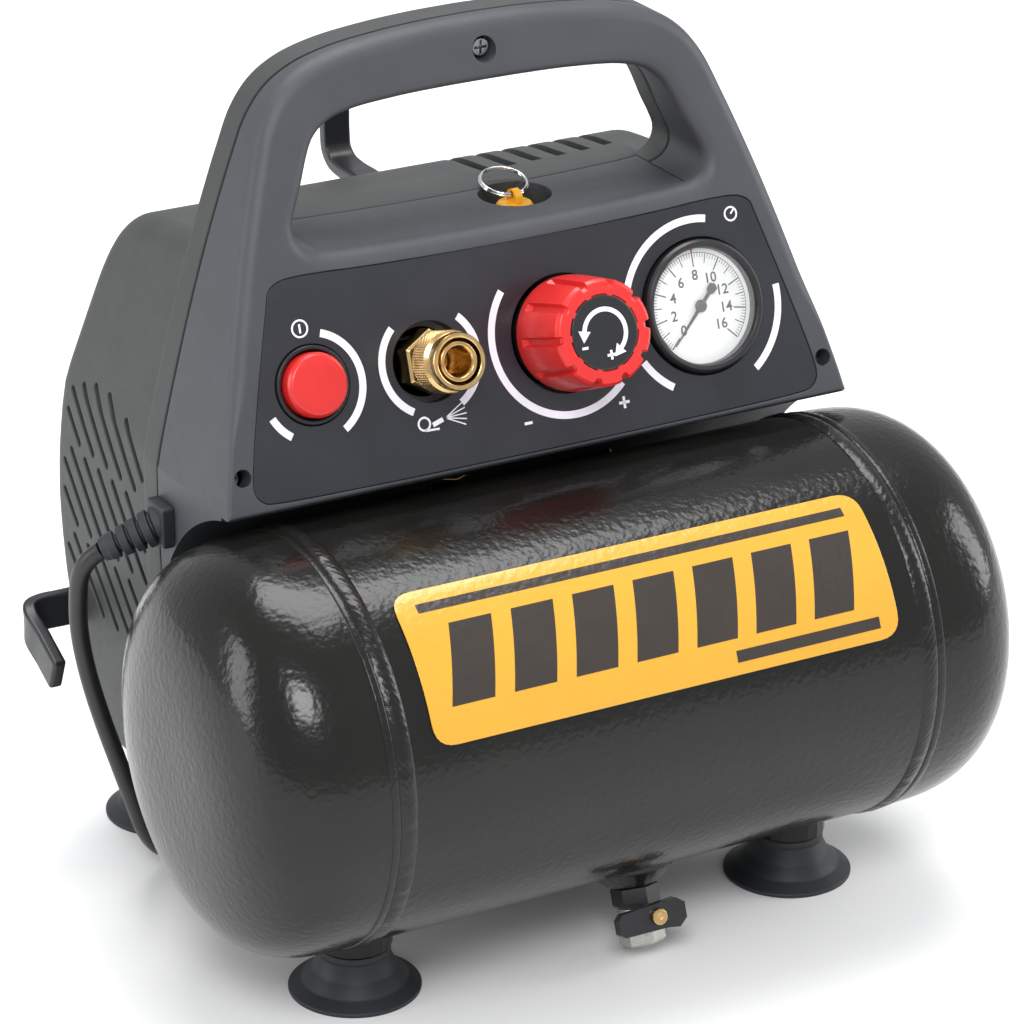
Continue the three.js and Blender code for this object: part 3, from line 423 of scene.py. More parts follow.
def sm(t):
    t = min(1.0, max(0.0, t))
    return t * t * (3 - 2 * t)


def cord_points():
    pts = [np.array(p, float) for p in spline(ROUTE, 3.0)]
    cx, cy = 90.0, 243.0
    steps = 5.75
    for i in range(1, int(steps * 60) + 1):
        s = i / 60
        k = int(s)
        fr = s - k
        rr = [47.6, 40.0, 32.4, 32.4, 40.0, 47.6]
        r = rr[min(k, 5)]
        if k < 5 and fr > 0.85:
            r += (rr[k + 1] - r) * sm((fr - 0.85) / 0.15)
        r += 8.0 * (1 - sm(s / 0.16))
        z = 3.85 + 7.6 * sm((s - 2.82) / 0.3)
        a = math.pi - 2 * math.pi * s
        pts.append(np.array([cx + r * math.cos(a), cy + r * math.sin(a), z]))
    # up into the plug, which lies on the coil
    z0 = 11.45
    path = [np.array([x, 195.4 + (80 - x) * 0.04, 0.0]) for x in (84.0, 79.0)]
    for a in np.linspace(-90, -270, 42):
        path.append(np.array([73 + 40 * math.cos(math.radians(a)), 236 + 40 * math.sin(math.radians(a)), 0.0]))
    path.append(np.array([73.7, 276.0, 0.0]))
    n = len(path)
    for i, p in enumerate(path):
        p[2] = z0 + (34.5 - z0) * sm(i / (n - 1) * 1.06 - 0.03)
        pts.append(p)
    P = np.array(pts)
    for _ in range(2):
        P[1:-1] = (P[:-2] + 2 * P[1:-1] + P[2:]) / 4
    return P


def build_cord():
    P = cord_points()
    length = float(np.sum(np.linalg.norm(np.diff(P, axis=0), axis=1))) * MM
    cu = bpy.data.curves.new("mains_cord", "CURVE")
    cu.dimensions = "3D"
    sp = cu.splines.new("POLY")
    sp.points.add(len(P) - 1)
    for q, p in zip(sp.points, P):
        q.co = (p[0] * MM, (p[1] + YS) * MM, p[2] * MM, 1)
    sp.use_smooth = True
    cu.bevel_depth = 0.0036
    cu.bevel_resolution = 5
    cu.use_fill_caps = True
    ob = bpy.data.objects.new("mains_cord", cu)
    bpy.context.collection.objects.link(ob)
    cu.materials.append(CORD)
    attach(ob, "base")
    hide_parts("power_cord", "power_cord_coil")
    return ob, length


cord, cord_len = build_cord()

# moulded two-pin plug on the coil
pm = Mesh()
plug_x = lambda p: np.stack([104 + np.asarray(p)[:, 2], 276 + np.asarray(p)[:, 0], 34.5 + np.asarray(p)[:, 1]], 1)
ribs = []
for i in range(6):
    h = -29.5 + i * 3.6
    r = 4.9 + i * 0.9
    ribs += [(r + 0.9, h), (r + 0.9, h + 2.2), (r, h + 2.5), (r, h + 3.4)]
prof = fillet([(0, -30.0), (5.2, -30.0)] + ribs + [(12.5, -7.5, 3), (17.4, -1, 3), (18.3, 4, 1), (18.3, 13, 1), (16.8, 16, 1.2), (0, 16)], 0.35, 3)
lathe(pm, prof, plug_x, 72)
for s in (-9.5, 9.5):
    f = lambda p, s=s: np.stack([104 + np.asarray(p)[:, 2], 276 + s + np.asarray(p)[:, 0], 34.5 + np.asarray(p)[:, 1]], 1)
    lathe(pm, fillet([(2.4, 15.5), (2.4, 34.9), (0, 34.9)], 1.2, 4), f, 32, m=1)
plug = put(pm, "mains_plug", [RUBBER, NICKEL], node="power_plug")

# strain relief with its square flange
rm = Mesh()
d0, d1 = np.array([-134.2, 73, 171.5]), np.array([-157, 82.6, 160.5])
L = float(np.linalg.norm(d1 - d0))
prof = [(7.6, 0.5), (7.6, 4.2)]
for i in range(4):
    r = 7.3 - 0.62 * i
    h = 5.0 + 4.9 * i
    prof += [(r - 1.7, h), (r - 1.7, h + 0.9), (r, h + 1.2), (r - 0.2, h + 4.4)]
prof += [(4.9, L - 2.2), (4.5, L), (0, L)]
lathe(rm, fillet(prof, 0.35, 3), direction(d0, d1 - d0), 64)
sq = fillet([(65.2, 163.2), (79.8, 163.2), (79.8, 179.8), (65.2, 179.8)], 1.6, 4, True)
lo = lambda x, d: np.stack([np.full(len(sq), x), offset(sq, d)[:, 0], offset(sq, d)[:, 1]], 1)
rm.strip([lo(-134.9, 0), lo(-138.6, 0), lo(-139.2, 0.35), lo(-139.4, 0.9)])
rm.fill([offset(sq, 0.9)], lambda p: np.stack([np.full(len(p), -139.4), p[:, 0], p[:, 1]], 1))
relief = put(rm, "strain_relief", RUBBER, node="cord_strain_relief")

# ------------------------------------------------------------------ tank
tm = Mesh()
lathe(tm, [(77, -113.4), (79.1, -113.4), (79.5, -113.0)] + [(79.5, x) for x in np.linspace(-110, 110, 23)] + [(79.5, 113.0), (79.1, 113.4), (77, 113.4)], along_x(1), 192)
put(tm, "tank_shell_skin", TANK, node="tank_shell", angle=40)
for nm, s in (("left", -1), ("right", 1)):
    hm = Mesh()
    prof = [(77, 113.8), (79.1, 113.8), (79.5, 114.2), (79.5, 117.0)]
    for t in np.linspace(0, math.pi / 2, 46)[1:]:
        prof.append((79.5 * max(0.0, math.cos(t)) ** (2 / 3.2), 117.0 + 52.0 * math.sin(t) ** (2 / 3.2)))
    prof[-1] = (0, 169.0)
    lathe(hm, prof, along_x(s), 192)
    put(hm, "tank_head_" + nm + "_skin", TANK, node="tank_head_" + nm, angle=50)
    bm_ = Mesh()
    seg = 720
    prof = [(79.45, x) for x in (108.4,)] + [(79.5 + 1.0 * math.sin(math.pi * min(1, (x - 108.4) / 7.0)) ** 0.7 if x < 115.4 else 79.72 + 0.35 * math.sin(math.pi * (x - 115.4) / 3.2) ** 0.6, x)
                                             for x in np.linspace(108.7, 118.5, 26)] + [(79.45, 118.6)]
    rng = np.random.default_rng(11 if s < 0 else 12)
    knots = rng.normal(0, 1, 150)

    def bead(r, h, a, knots=knots):
        t = (a % (2 * math.pi)) / (2 * math.pi) * 150
        k = np.floor(t).astype(int) % 150
        f = t - np.floor(t)
        f = f * f * (3 - 2 * f)
        w = knots[k] * (1 - f) + knots[(k + 1) % 150] * f
        up = max(0.0, r - 79.5)
        return r + up * (0.13 * w + 0.16 * np.abs(np.sin(np.pi * t + 1.2 * (h - 112)))) * (1 if h < 115.4 else 0.25) - 0.12 * up
    lathe(bm_, prof, along_x(s), seg, rfun=bead)
    put(bm_, "weld_seam_" + nm, BEAD, node="weld_bead_" + nm, angle=60, weighted=False)

# label film and its print
A0, A1 = math.radians(17.7), math.radians(60.4)
SLEN = 79.5 * (A1 - A0)


def on_tank(R):
    def f(p):
        p = np.asarray(p, float)
        a = A0 + p[:, 1] / 79.5
        return np.stack([p[:, 0], -R * np.cos(a), TZ + R * np.sin(a)], 1)
    return f


def rect_loop(x0, y0, x1, y1, r, k=6, step=4.0):
    c = fillet([(x0, y0, r), (x1, y0, r), (x1, y1, r), (x0, y1, r)], r, k, True)
    out = []
    for a, b in zip(c, np.roll(c, -1, 0)):
        n = max(1, int(np.linalg.norm(b - a) / step))
        out += [a + (b - a) * i / n for i in range(n)]
    return np.array(out)


lm = Mesh()
lab = rect_loop(-99.4, 0.1, 99.4, SLEN - 0.1, 9)
lm.fill([offset(lab, 0.25)], on_tank(80.32), 4.0)
lm.strip([on_tank(79.9)(lab), on_tank(80.22)(lab), on_tank(80.32)(offset(lab, 0.25))])
put(lm, "label_film", LABEL, node="tank_label", angle=40)


def dense(poly, step=3.0):
    out = []
    P = np.array(poly, float)
    for a, b in zip(P, np.roll(P, -1, 0)):
        n = max(1, int(np.linalg.norm(b - a) / step))
        out += [a + (b - a) * i / n for i in range(n)]
    return np.array(out)


im = Mesh()
polys = [[(-91, 49.5), (91, 49.5), (91, 53.3), (-91, 53.3)], [(28, 4.6), (91, 4.6), (91, 9.0), (28, 9.0)]]
for i in range(7):
    x = -90 + i * 25.6
    polys.append([(x, 13.5), (x + 17.5, 13.5), (x + 26.0, 43.5), (x + 8.5, 43.5)])
for p in polys:
    im.fill([dense(p)], on_tank(80.37), 3.5)
put(im, "label_print", INK, angle=40, fix=False)

# ------------------------------------------------------------------ feet and front bosses
for nm, x, y in (("front_left", -97.4, -5.1), ("front_right", 97.4, -5.1), ("rear_left", -97.4, 163.4), ("rear_right", 97.4, 163.4)):
    f = Mesh()
    prof = fillet([(0, 4.4), (14, 3.6, 4), (22.6, 0.15, 0.5), (25.5, 0.0, 0.35), (25.6, 1.5, 0.7), (20.6, 4.6, 4), (16.2, 9.5, 6), (13.6, 15.0, 2),
                   (14.0, 16.3, 0.4), (14.0, 18.6, 0.4), (0, 18.6)], 0.4, 6)
    lathe(f, prof, at(x, y, 0), 96)
    put(f, "foot_" + nm, RUBBER, node="suction_foot_" + nm, angle=40)

# ------------------------------------------------------------------ fascia, handle and roof
yf = lambda z: 32.1 + (np.asarray(z) - 232.5) * TAN
HALF = [[134.4, 191.3], [132.2, 202], [122, 242], [113.8, 270.3], [107.6, 289.3], [100.8, 308.2], [94.4, 323.6], [86.5, 333.7], [76, 340.3], [61, 344.8], [40, 347.6], [20, 348.95], [0, 349.35]]
half_d = spline(HALF, 2.5)
half_d[-1, 0] = 0
OUT = mirror_half(half_d)
nb = 60
OUT = np.vstack([OUT, np.stack([np.linspace(-134.4, 134.4, nb + 1)[1:-1], np.full(nb - 1, 191.3)], 1)])
OPH = [[0, 274.7], [20, 274.8], [40, 275.1], [60, 275.6], [75, 276.3], [82.5, 277.6], [87.2, 281.4], [88.2, 286.5], [86.4, 291.5], [82.4, 299.5], [77.2, 311], [74, 316], [68, 320.3], [58.5, 323.0], [38, 324.8], [18, 325.4], [0, 325.5]]
oph = spline(OPH, 2.2)
oph[0, 0] = oph[-1, 0] = 0
oth = oph[::-1].copy()
oth[:, 0] *= -1
OPEN = np.vstack([oph, oth[1:-1]])
XR = float(np.max(np.abs(OPEN[(OPEN[:, 1] < 279) & (np.abs(OPEN[:, 0]) < 80)][:, 0])))
low = OPEN[(OPEN[:, 1] < 279) & (np.abs(OPEN[:, 0]) <= XR + 1e-6)]
low = low[np.argsort(low[:, 0])]
zroof = lambda x: np.interp(x, low[:, 0], low[:, 1])
roof_seg = lambda L: (lambda i: abs(L[i][0]) <= XR + 1e-6 and abs(L[(i + 1) % len(L)][0]) <= XR + 1e-6 and L[i][1] < 279)
RF = 5.6


def front_ring(L, s, t):
    Q = offset(L, s)
    return np.stack([Q[:, 0], yf(Q[:, 1]) + t, Q[:, 1]], 1)


def flat_ring(L, s, y):
    Q = offset(L, s)
    return np.stack([Q[:, 0], np.full(len(Q), float(y)), Q[:, 1]], 1)


fm = Mesh()
th = np.linspace(0, math.pi / 2, 8)
ro = np.clip((OUT[:, 1] - 214) / 26, 0, 1)
ro = 1.7 + (RF - 1.7) * ro * ro * (3 - 2 * ro)
fm.strip([front_ring(OUT, ro * (1 - math.sin(t)), ro * (1 - math.cos(t))) for t in th]
         + [flat_ring(OUT, 0, 78.7), flat_ring(OUT, 0.25, 79.2), flat_ring(OUT, 0.8, 79.4), flat_ring(OUT, 2.4, 79.4), flat_ring(OUT, 2.4, 81.2)])
rs = roof_seg(OPEN)
loops = [front_ring(OPEN, -RF * (1 - math.sin(t)), RF * (1 - math.cos(t))) for t in th]
nl = len(loops)
loops += [flat_ring(OPEN, 0, 78.7), flat_ring(OPEN, -0.25, 79.2), flat_ring(OPEN, -0.8, 79.4), flat_ring(OPEN, -2.4, 79.4), flat_ring(OPEN, -2.4, 81.2)]
fm.strip(loops, skip=lambda k, i: k >= nl - 1 and rs(i))
# front face with the plate recess and screw recesses
PL = [[101.5, 38.5], [103.8, 36.5], [104.9, 33], [121.8, -31], [121.6, -36], [118.5, -39.4], [114, -40.2], [-114, -40.2], [-118.5, -39.4], [-121.6, -36], [-121.8, -31], [-104.9, 33], [-103.8, 36.5], [-101.5, 38.5], [-97, 40], [-50, 39.1], [0, 38.8], [50, 39.1], [97, 40]]
PL = np.array(PL)[::-1]
PL = np.array([p for p in PL])
if np.sum(PL[:, 0] * np.roll(PL[:, 1], -1) - np.roll(PL[:, 0], -1) * PL[:, 1]) < 0:
    PL = PL[::-1]
PLATE = dense(spline(PL, 2.0, True), 2.0)
uv2xz = lambda p: np.stack([np.asarray(p)[:, 0], 232.5 + np.asarray(p)[:, 1] * math.cos(RAKE)], 1)
circ = lambda cx, cy, r, n=48: np.array([[cx + r * math.cos(2 * math.pi * i / n), cy + r * math.sin(2 * math.pi * i / n)] for i in range(n)])
REC = offset(PLATE, -0.6)
holes = [uv2xz(REC), uv2xz(circ(-125.75, -28.7, 3.5)), uv2xz(circ(125.75, -28.7, 3.5)), circ(0, 337.6, 5.0)]
outer = offset(OUT, ro)
inner = offset(OPEN, -RF)
fm.fill([outer, inner] + holes, lambda p: np.stack([p[:, 0], yf(p[:, 1]), p[:, 1]], 1), 5.0)
P0 = at_panel()
lv = lambda L, n: P0(np.c_[L, np.full(len(L), float(n))])
fm.strip([lv(REC, 0), lv(offset(REC, 0.25), -0.1), lv(offset(REC, 0.4), -0.4), lv(offset(REC, 0.45), -1.6)])
SEATS = [circ(u, v, r, 72) for u, v, r in ((-92, 0, 15.3), (-43, 0, 15.4), (15, 0.5, 22.9), (76, 0.3, 26.8))]
fm.fill([offset(REC, 0.45)] + SEATS, lambda p: P0(np.c_[p, np.full(len(p), -1.6)]), 8.0)
for c in SEATS:
    fm.strip([lv(c, -1.6), lv(c, -6.5), lv(offset(c, 2.2), -7.0)])
for u in (-125.75, 125.75):
    c = lambda r, n: lv(circ(u, -28.7, r), n)
    fm.strip([c(3.5, 0), c(3.35, -0.15), c(3.3, -0.5), c(3.3, -9.0)])
cc = lambda r, y: np.stack([circ(0, 337.6, r)[:, 0], (yf(circ(0, 337.6, r)[:, 1]) if y is None else np.full(48, y)), circ(0, 337.6, r)[:, 1]], 1)
fm.strip([cc(5.0, None), cc(4.75, 69.9), cc(4.7, 74), cc(0.01, 74)])
# side skirts that follow the tank
hw = lambda z: np.interp(z, [120, 140, 160, 175, 191.3], [133.0, 133.8, 134.3, 134.5, 134.4])
ys = np.linspace(24.2, 79.4, 24)
arc = np.stack([ys, TZ + np.sqrt(86.0 ** 2 - ys ** 2)], 1)
arc = np.array([p for p in arc if p[1] < 191.2])
skirt = np.vstack([arc, [[79.4, 150], [79.4, 165], [79.4, 180], [79.4, 191.35]], np.stack([np.linspace(70, arc[0, 0], 6), np.full(6, 191.35)], 1)])
if np.sum(skirt[:, 0] * np.roll(skirt[:, 1], -1) - np.roll(skirt[:, 0], -1) * skirt[:, 1]) < 0:
    skirt = skirt[::-1]
for s in (-1, 1):
    fm.fill([skirt], lambda p: np.stack([s * hw(p[:, 1]), p[:, 0], p[:, 1]], 1), 7.0)
    fm.strip([np.stack([s * (hw(skirt[:, 1]) - d), skirt[:, 0], skirt[:, 1]], 1) for d in (0, 3.0)])
yb = np.linspace(18.5, 79.4, 30)
zb = TZ + np.sqrt(86.0 ** 2 - yb ** 2)
fm.strip([np.stack([np.full(30, x), yb, zb], 1) for x in np.linspace(-133.6, 133.6, 12)], closed=False)
put(fm, "fascia_shell", FASCIA, node="front_fascia", angle=30)

# rear half of the handle with its flange
HALF2 = [[133.6, 138], [134.3, 160], [134.5, 175], [134.4, 191.3]]
h2 = np.vstack([dense(HALF2, 3.0)[:18] if False else spline(HALF2, 3.0)[:-1], half_d])
OUT2 = mirror_half(h2)
OUT2 = np.vstack([OUT2, np.stack([np.linspace(-133.6, 133.6, 41)[1:-1], np.full(39, 138.0)], 1)])
rm2 = Mesh()
R3 = 3.6
rm2.strip([flat_ring(OUT2, 2.3, 80.7), flat_ring(OUT2, 0.7, 80.7), flat_ring(OUT2, 0.2, 80.95), flat_ring(OUT2, 0, 81.5)]
          + [flat_ring(OUT2, R3 * (1 - math.cos(t)), 95 - R3 + R3 * math.sin(t)) for t in th])
rs = roof_seg(OPEN)
rm2.strip([flat_ring(OPEN, -2.3, 80.7), flat_ring(OPEN, -0.7, 80.7), flat_ring(OPEN, -0.2, 80.95), flat_ring(OPEN, 0, 81.5)]
          + [flat_ring(OPEN, -R3 * (1 - math.cos(t)), 95 - R3 + R3 * math.sin(t)) for t in th], skip=lambda k, i: rs(i))
rm2.fill([offset(OUT2, R3), offset(OPEN, -R3)], lambda p: np.stack([p[:, 0], np.full(len(p), 95.0), p[:, 1]], 1), 8.0)
put(rm2, "handle_rear_half", SHROUD, node="handle_rear_shell", angle=30)

# roof bands under the grip, with the round pocket for the safety valve
VX, VY, VR = 18.0, 77.0, 14.2


def roof_band(name, y0, y1, material, xw, front=False):
    m = Mesh()
    xs = np.linspace(-xw, xw, 45)
    lower = [(x, float(yf(zroof(x))) + RF if front else y0) for x in xs]
    pts = lower[:]
    if front:
        dy = y1 - VY
        hc = math.sqrt(VR ** 2 - dy ** 2)
        pts += [(xw, y) for y in np.linspace(lower[-1][1], y1, 10)[1:]]
        pts += [(x, y1) for x in np.linspace(xw, VX + hc, 16)[1:]]
        a0 = math.atan2(dy, hc)
        a1 = math.pi - a0
        for a in np.linspace(a0, a1 - 2 * math.pi, 60)[1:-1]:
            pts.append((VX + VR * math.cos(a), VY + VR * math.sin(a)))
        pts += [(x, y1) for x in np.linspace(VX - hc, -xw, 26)]
        pts += [(-xw, y) for y in np.linspace(y1, lower[0][1], 10)[1:-1]]
    else:
        dy = y0 - VY
        hc = math.sqrt(VR ** 2 - dy ** 2)
        pts = [(x, y0) for x in np.linspace(-xw, VX - hc, 26)]
        a0 = math.atan2(dy, -hc)
        for a in np.linspace(a0, math.pi - a0, 14)[1:-1]:
            pts.append((VX + VR * math.cos(a), VY + VR * math.sin(a)))
        pts += [(x, y0) for x in np.linspace(VX + hc, xw, 16)]
        pts += [(xw, y) for y in np.linspace(y0, y1, 8)[1:]]
        pts += [(x, y1) for x in np.linspace(xw, -xw, 50)[1:]]
        pts += [(-xw, y) for y in np.linspace(y1, y0, 8)[1:-1]]
    Lp = np.array(pts)
    zr = lambda p: zroof(np.clip(p[:, 0], -XR, XR))
    up = lambda p, d=0.0: np.stack([p[:, 0], p[:, 1], zr(p) - d], 1)
    e = 0.5
    m.fill([offset(Lp, e)], lambda p: up(p), 4.0)
    m.strip([up(offset(Lp, e)), up(offset(Lp, 0.15), 0.15), up(Lp, 0.5), up(Lp, 2.8)])
    put(m, name, material, angle=35)


roof_band("roof_front", 50, 88.7, FASCIA, XR, True)
roof_band("roof_rear", 89.2, 107.0, SHROUD, 82.5)
vm = Mesh()
lathe(vm, [(14.4, 273.4), (14.1, 272.0), (13.8, 263.2), (13.2, 262.4), (5.4, 262.2)], at(VX, VY, 0), 72)
put(vm, "valve_pocket", SHROUD, angle=35)

# ------------------------------------------------------------------ rear shroud
SP = [[95.3, 38], [140, 38], [152, 38.6], [162, 41.6], [170, 47.6], [178, 60], [184, 76], [188.3, 98], [190.3, 122], [189.9, 142], [187.4, 162], [183, 182], [177.5, 203], [172.4, 222], [167.3, 240], [163.2, 251], [158, 259], [151, 264.6], [143, 267.4], [125, 269.8], [107, 272.1], [95.3, 273.3]]
PROF = spline(SP, 3.0)
PROF[0], PROF[-1] = (95.3, 38), (95.3, 273.3)
xw_ = lambda z: np.interp(z, [38, 60, 90, 110, 140, 160, 180, 192, 200, 240, 256, 275], [124.8, 127, 129, 130, 131.2, 131.5, 131.4, 130.9, 129.4, 119.4, 114.8, 109.3])
RS = 9.0


def side_ring(s, w, d):
    Q = offset(PROF, d, closed=False)
    Q[:, 0] = np.where(np.arange(len(Q)) == 0, 95.3, Q[:, 0])
    Q[-1, 0] = 95.3
    return np.stack([s * (xw_(Q[:, 1]) - w), Q[:, 0], Q[:, 1]], 1)


sh = Mesh()
for s in (-1, 1):
    sh.strip([side_ring(s, RS * (1 - math.cos(t)), RS * (1 - math.sin(t))) for t in np.linspace(0, math.pi / 2, 9)], closed=False)
# side walls with their slanted vents
slots = []
QIN = offset(PROF, RS + 3.4, closed=False)
QIN[0, 0] = QIN[-1, 0] = 95.3
dy, dz, cy, cz, cr = 0.655, 0.755, 138, 150, 50
for z0, z1, off in ((171, 203, 0), (134, 165, 6.5), (101, 127, 0)):
    for y0 in np.arange(70, 190, 13.0):
        frm = None
        for z in np.arange(z0, z1 + 0.01, 0.5):
            y = y0 + off + (z - z0) * dy / dz
            ok = math.hypot(y - cy, z - cz) < cr and y > 101.5 and math.hypot(y, z - TZ) > 92
            ok = ok and bool(inside([[y, z]], [QIN])[0])
            if ok:
                frm = z if frm is None else frm
                to = z
        if frm is not None and to - frm > 6:
            slots.append((y0 + off + (frm - z0) * dy / dz, frm, y0 + off + (to - z0) * dy / dz, to))


def slot_loop(ya, za, yb, zb, w=1.75):
    a, b = np.array([ya, za]), np.array([yb, zb])
    u = (b - a) / np.linalg.norm(b - a)
    v = np.array([-u[1], u[0]])
    out = []
    for t in np.linspace(-90, 90, 7):
        r = math.radians(t)
        out.append(b + w * (u * math.cos(r) + v * math.sin(r)))
    for t in np.linspace(90, 270, 7):
        r = math.radians(t)
        out.append(a + w * (u * math.cos(r) + v * math.sin(r)))
    return dense(out, 4.0)


SL = [slot_loop(*q) for q in slots]
Q = offset(PROF, RS, closed=False)
Q[0, 0] = Q[-1, 0] = 95.3
side = np.vstack([Q, np.stack([np.full(30, 95.3), np.linspace(Q[-1, 1], Q[0, 1], 32)[1:-1]], 1)])
for s in (-1, 1):
    grown = [offset(l, -0.35) for l in SL]
    sh.fill([side] + grown, lambda p: np.stack([s * xw_(p[:, 1]), p[:, 0], p[:, 1]], 1), 7.0)
    for g, l in zip(grown, SL):
        w = lambda L_, d: np.stack([s * (xw_(L_[:, 1]) - d), L_[:, 0], L_[:, 1]], 1)
        sh.strip([w(g, 0), w(l, 0.35), w(l, 2.8)])
# top and back skin with the louvres over the cylinder head
xe = [27.5 + 11.8 * i + q for i in range(6) for q in (-2.5, 2.5)]
xs = sorted(set([-1.0, 1.0] + [round(v, 3) for v in np.linspace(-0.9, 0.9, 13)]))
topi = [i for i in range(len(PROF)) if PROF[i, 1] > 246 and 111 < PROF[i, 0] < 168]
i0, i1 = min(topi), max(topi)


def skin_cols():
    cols = []
    for k in np.linspace(-1, 1, 27):
        cols.append(("r", float(k)))
    return cols


zq = PROF[:, 1]
X0 = xw_(zq) - RS
cols = sorted(set([round(float(v), 3) for v in np.linspace(-96, 20, 16)] + [round(v, 3) for v in xe] + [22.0, 93.0]))
lines = [np.stack([-X0, PROF[:, 0], zq], 1)] + [np.stack([np.full(len(zq), c), PROF[:, 0], zq], 1) for c in cols] + [np.stack([X0, PROF[:, 0], zq], 1)]
is_slot = lambda k: k >= 1 and k < len(cols) and any(abs(cols[k - 1] - (27.5 + 11.8 * i - 2.5)) < 1e-3 for i in range(6))
sh.strip(lines, closed=False, skip=lambda k, i: is_slot(k) and i0 <= i < i1)
for i in range(6):
    xa, xb = 27.5 + 11.8 * i - 2.5, 27.5 + 11.8 * i + 2.5
    seg = PROF[i0:i1 + 1]
    inn = offset(PROF, 2.8, closed=False)[i0:i1 + 1]
    for x in (xa, xb):
        sh.strip([np.stack([np.full(len(seg), x), seg[:, 0], seg[:, 1]], 1), np.stack([np.full(len(seg), x), inn[:, 0], inn[:, 1]], 1)], closed=False)
    for j in (0, -1):
        sh.strip([np.array([[xa, *seg[j]], [xb, *seg[j]]]), np.array([[xa, *inn[j]], [xb, *inn[j]]])], closed=False)
put(sh, "rear_shroud_skin", SHROUD, node="rear_shroud", angle=32)

# ------------------------------------------------------------------ control plate and print
pp = Mesh()
PH = [(-92, 0, 15.2), (-43, 0, 15.3), (15, 0.5, 22.8), (76, 0.3, 26.7)]
chl = [circ(u, v, r, 72) for u, v, r in PH]
pp.fill([offset(PLATE, 0.25)] + [offset(c, -0.2) for c in chl], lambda p: P0(np.c_[p, np.full(len(p), -0.3)]), 6.0)
pp.strip([lv(offset(PLATE, 0.25), -0.3), lv(PLATE, -0.5), lv(PLATE, -1.3)])
for c in chl:
    pp.strip([lv(offset(c, -0.2), -0.3), lv(c, -0.5), lv(c, -1.3)])
put(pp, "control_plate", PANEL, node="control_panel_plate", angle=30)

wm = Mesh()


def arc_band(cx, cy, r, a0, a1, w=2.9, n=0.0, k=None):
    k = k or max(6, int(abs(a1 - a0) / 3))
    a = np.radians(np.linspace(a0, a1, k + 1))
    z = np.full(len(a), -0.24 + n)
    wm.strip([P0(np.stack([cx + q * np.cos(a), cy + q * np.sin(a), z], 1)) for q in (r - w / 2, r + w / 2)], closed=False)


def poly(pts, n=0.0):
    wm.fill([np.array(pts, float)], lambda p: P0(np.c_[p, np.full(len(p), -0.24 + n)]))


def bar(x0, y0, x1, y1, w):
    a, b = np.array([x0, y0]), np.array([x1, y1])
    u = (b - a) / np.linalg.norm(b - a)
    v = np.array([-u[1], u[0]]) * w / 2
    poly([a - v, b - v, b + v, a + v])


arc_band(-91.9, -0.9, 20.2, 72, -60)
arc_band(-91.9, -0.9, 20.2, 205, 235)
arc_band(-42.8, 0, 20.2, 133, 240)
arc_band(-42.8, 0, 20.2, 47, 10)
arc_band(-42.8, 0, 20.2, -20, -60)
arc_band(14.9, 0.6, 31.2, 140, 313)
arc_band(76.05, 0.26, 33.75, 160, 78)
arc_band(76.05, 0.26, 33.75, 210, 238)
arc_band(76.05, 0.26, 33.75, 5, -55)
arc_band(-93.5, 21.3, 3.1, 0, 360, 0.7)
bar(-93.5, 19.6, -93.5, 23.0, 0.8)
bar(-8.0, -30.3, -4.6, -30.3, 1.1)
bar(33.4, -30, 38.0, -30, 1.1)
bar(35.7, -32.3, 35.7, -27.7, 1.1)
arc_band(-49.5, -22.6, 2.4, 0, 360, 0.8)
bar(-49.5, -25.2, -43.5, -25.4, 0.8)
bar(-46, -23.6, -41.5, -22.2, 1.8)
for a in (-26, -12, 2, 16, 30):
    c, s = math.cos(math.radians(a)), math.sin(math.radians(a))
    bar(-40.4 + 0.5 * c, -21.9 + 0.5 * s, -40.4 + 9 * c, -21.9 + 9 * s, 0.45)
arc_band(94.5, 33.2, 2.6, 0, 360, 0.7)
bar(94.5, 33.2, 96.2, 34.9, 0.7)
put(wm, "plate_print", PRINT, fix=False)


# ------------------------------------------------------------------ start button
b1 = Mesh()
lathe(b1, fillet([(0, -14.9), (12.7, -14.9, 0.3), (12.75, -0.6, 0.4), (13.3, 0.7, 0.5), (14.6, 0.7, 0.5), (14.9, -0.6, 0.3), (14.9, -20), (0, -20)], 0.3, 5), at_panel(-92, 0), 96)
put(b1, "button_collar", BLACK, node="start_switch_body")
b2 = Mesh()
lathe(b2, fillet([(0, -9), (12.2, -9, 0.3), (12.2, 4.0, 1.2), (11.2, 5.9, 1.6), (8.5, 6.1, 2), (0, 5.6)], 1.0, 6), at_panel(-92, 0), 96)
put(b2, "button_cap", RED, body="start_button", node="start_button")

# ------------------------------------------------------------------ pressure gauge
g = Mesh()
lathe(g, fillet([(0, -22), (24, -22, 0.5), (24.0, -3), (25.3, -3, 0.3), (25.3, -23.5, 1), (5, -25), (5, -35.5), (0, -35.5)], 0.3, 3), at_panel(76, 0.3), 96)
put(g, "gauge_can", BLACK, node="gauge_case")
g = Mesh()
lathe(g, fillet([(22.3, -2.2), (22.5, 1.2, 0.5), (23.0, 2.8, 0.6), (24.6, 3.2, 0.8), (25.8, 1.9, 0.9), (25.85, -1.7, 0.3), (25.0, -2.0)], 0.5, 5), at_panel(76, 0.3), 128)
put(g, "gauge_rim", BLACK, node="gauge_bezel")
g = Mesh()
lathe(g, fillet([(1.6, -3.4), (1.6, -2.6), (22.4, -2.6, 0.2), (23.5, -2.1, 0.2), (23.5, -3.2), (1.6, -3.4)], 0.1, 2), at_panel(76, 0.3), 96)
put(g, "gauge_face", DIAL, node="gauge_dial")
g = Mesh()
GP = at_panel(76, 0.3)


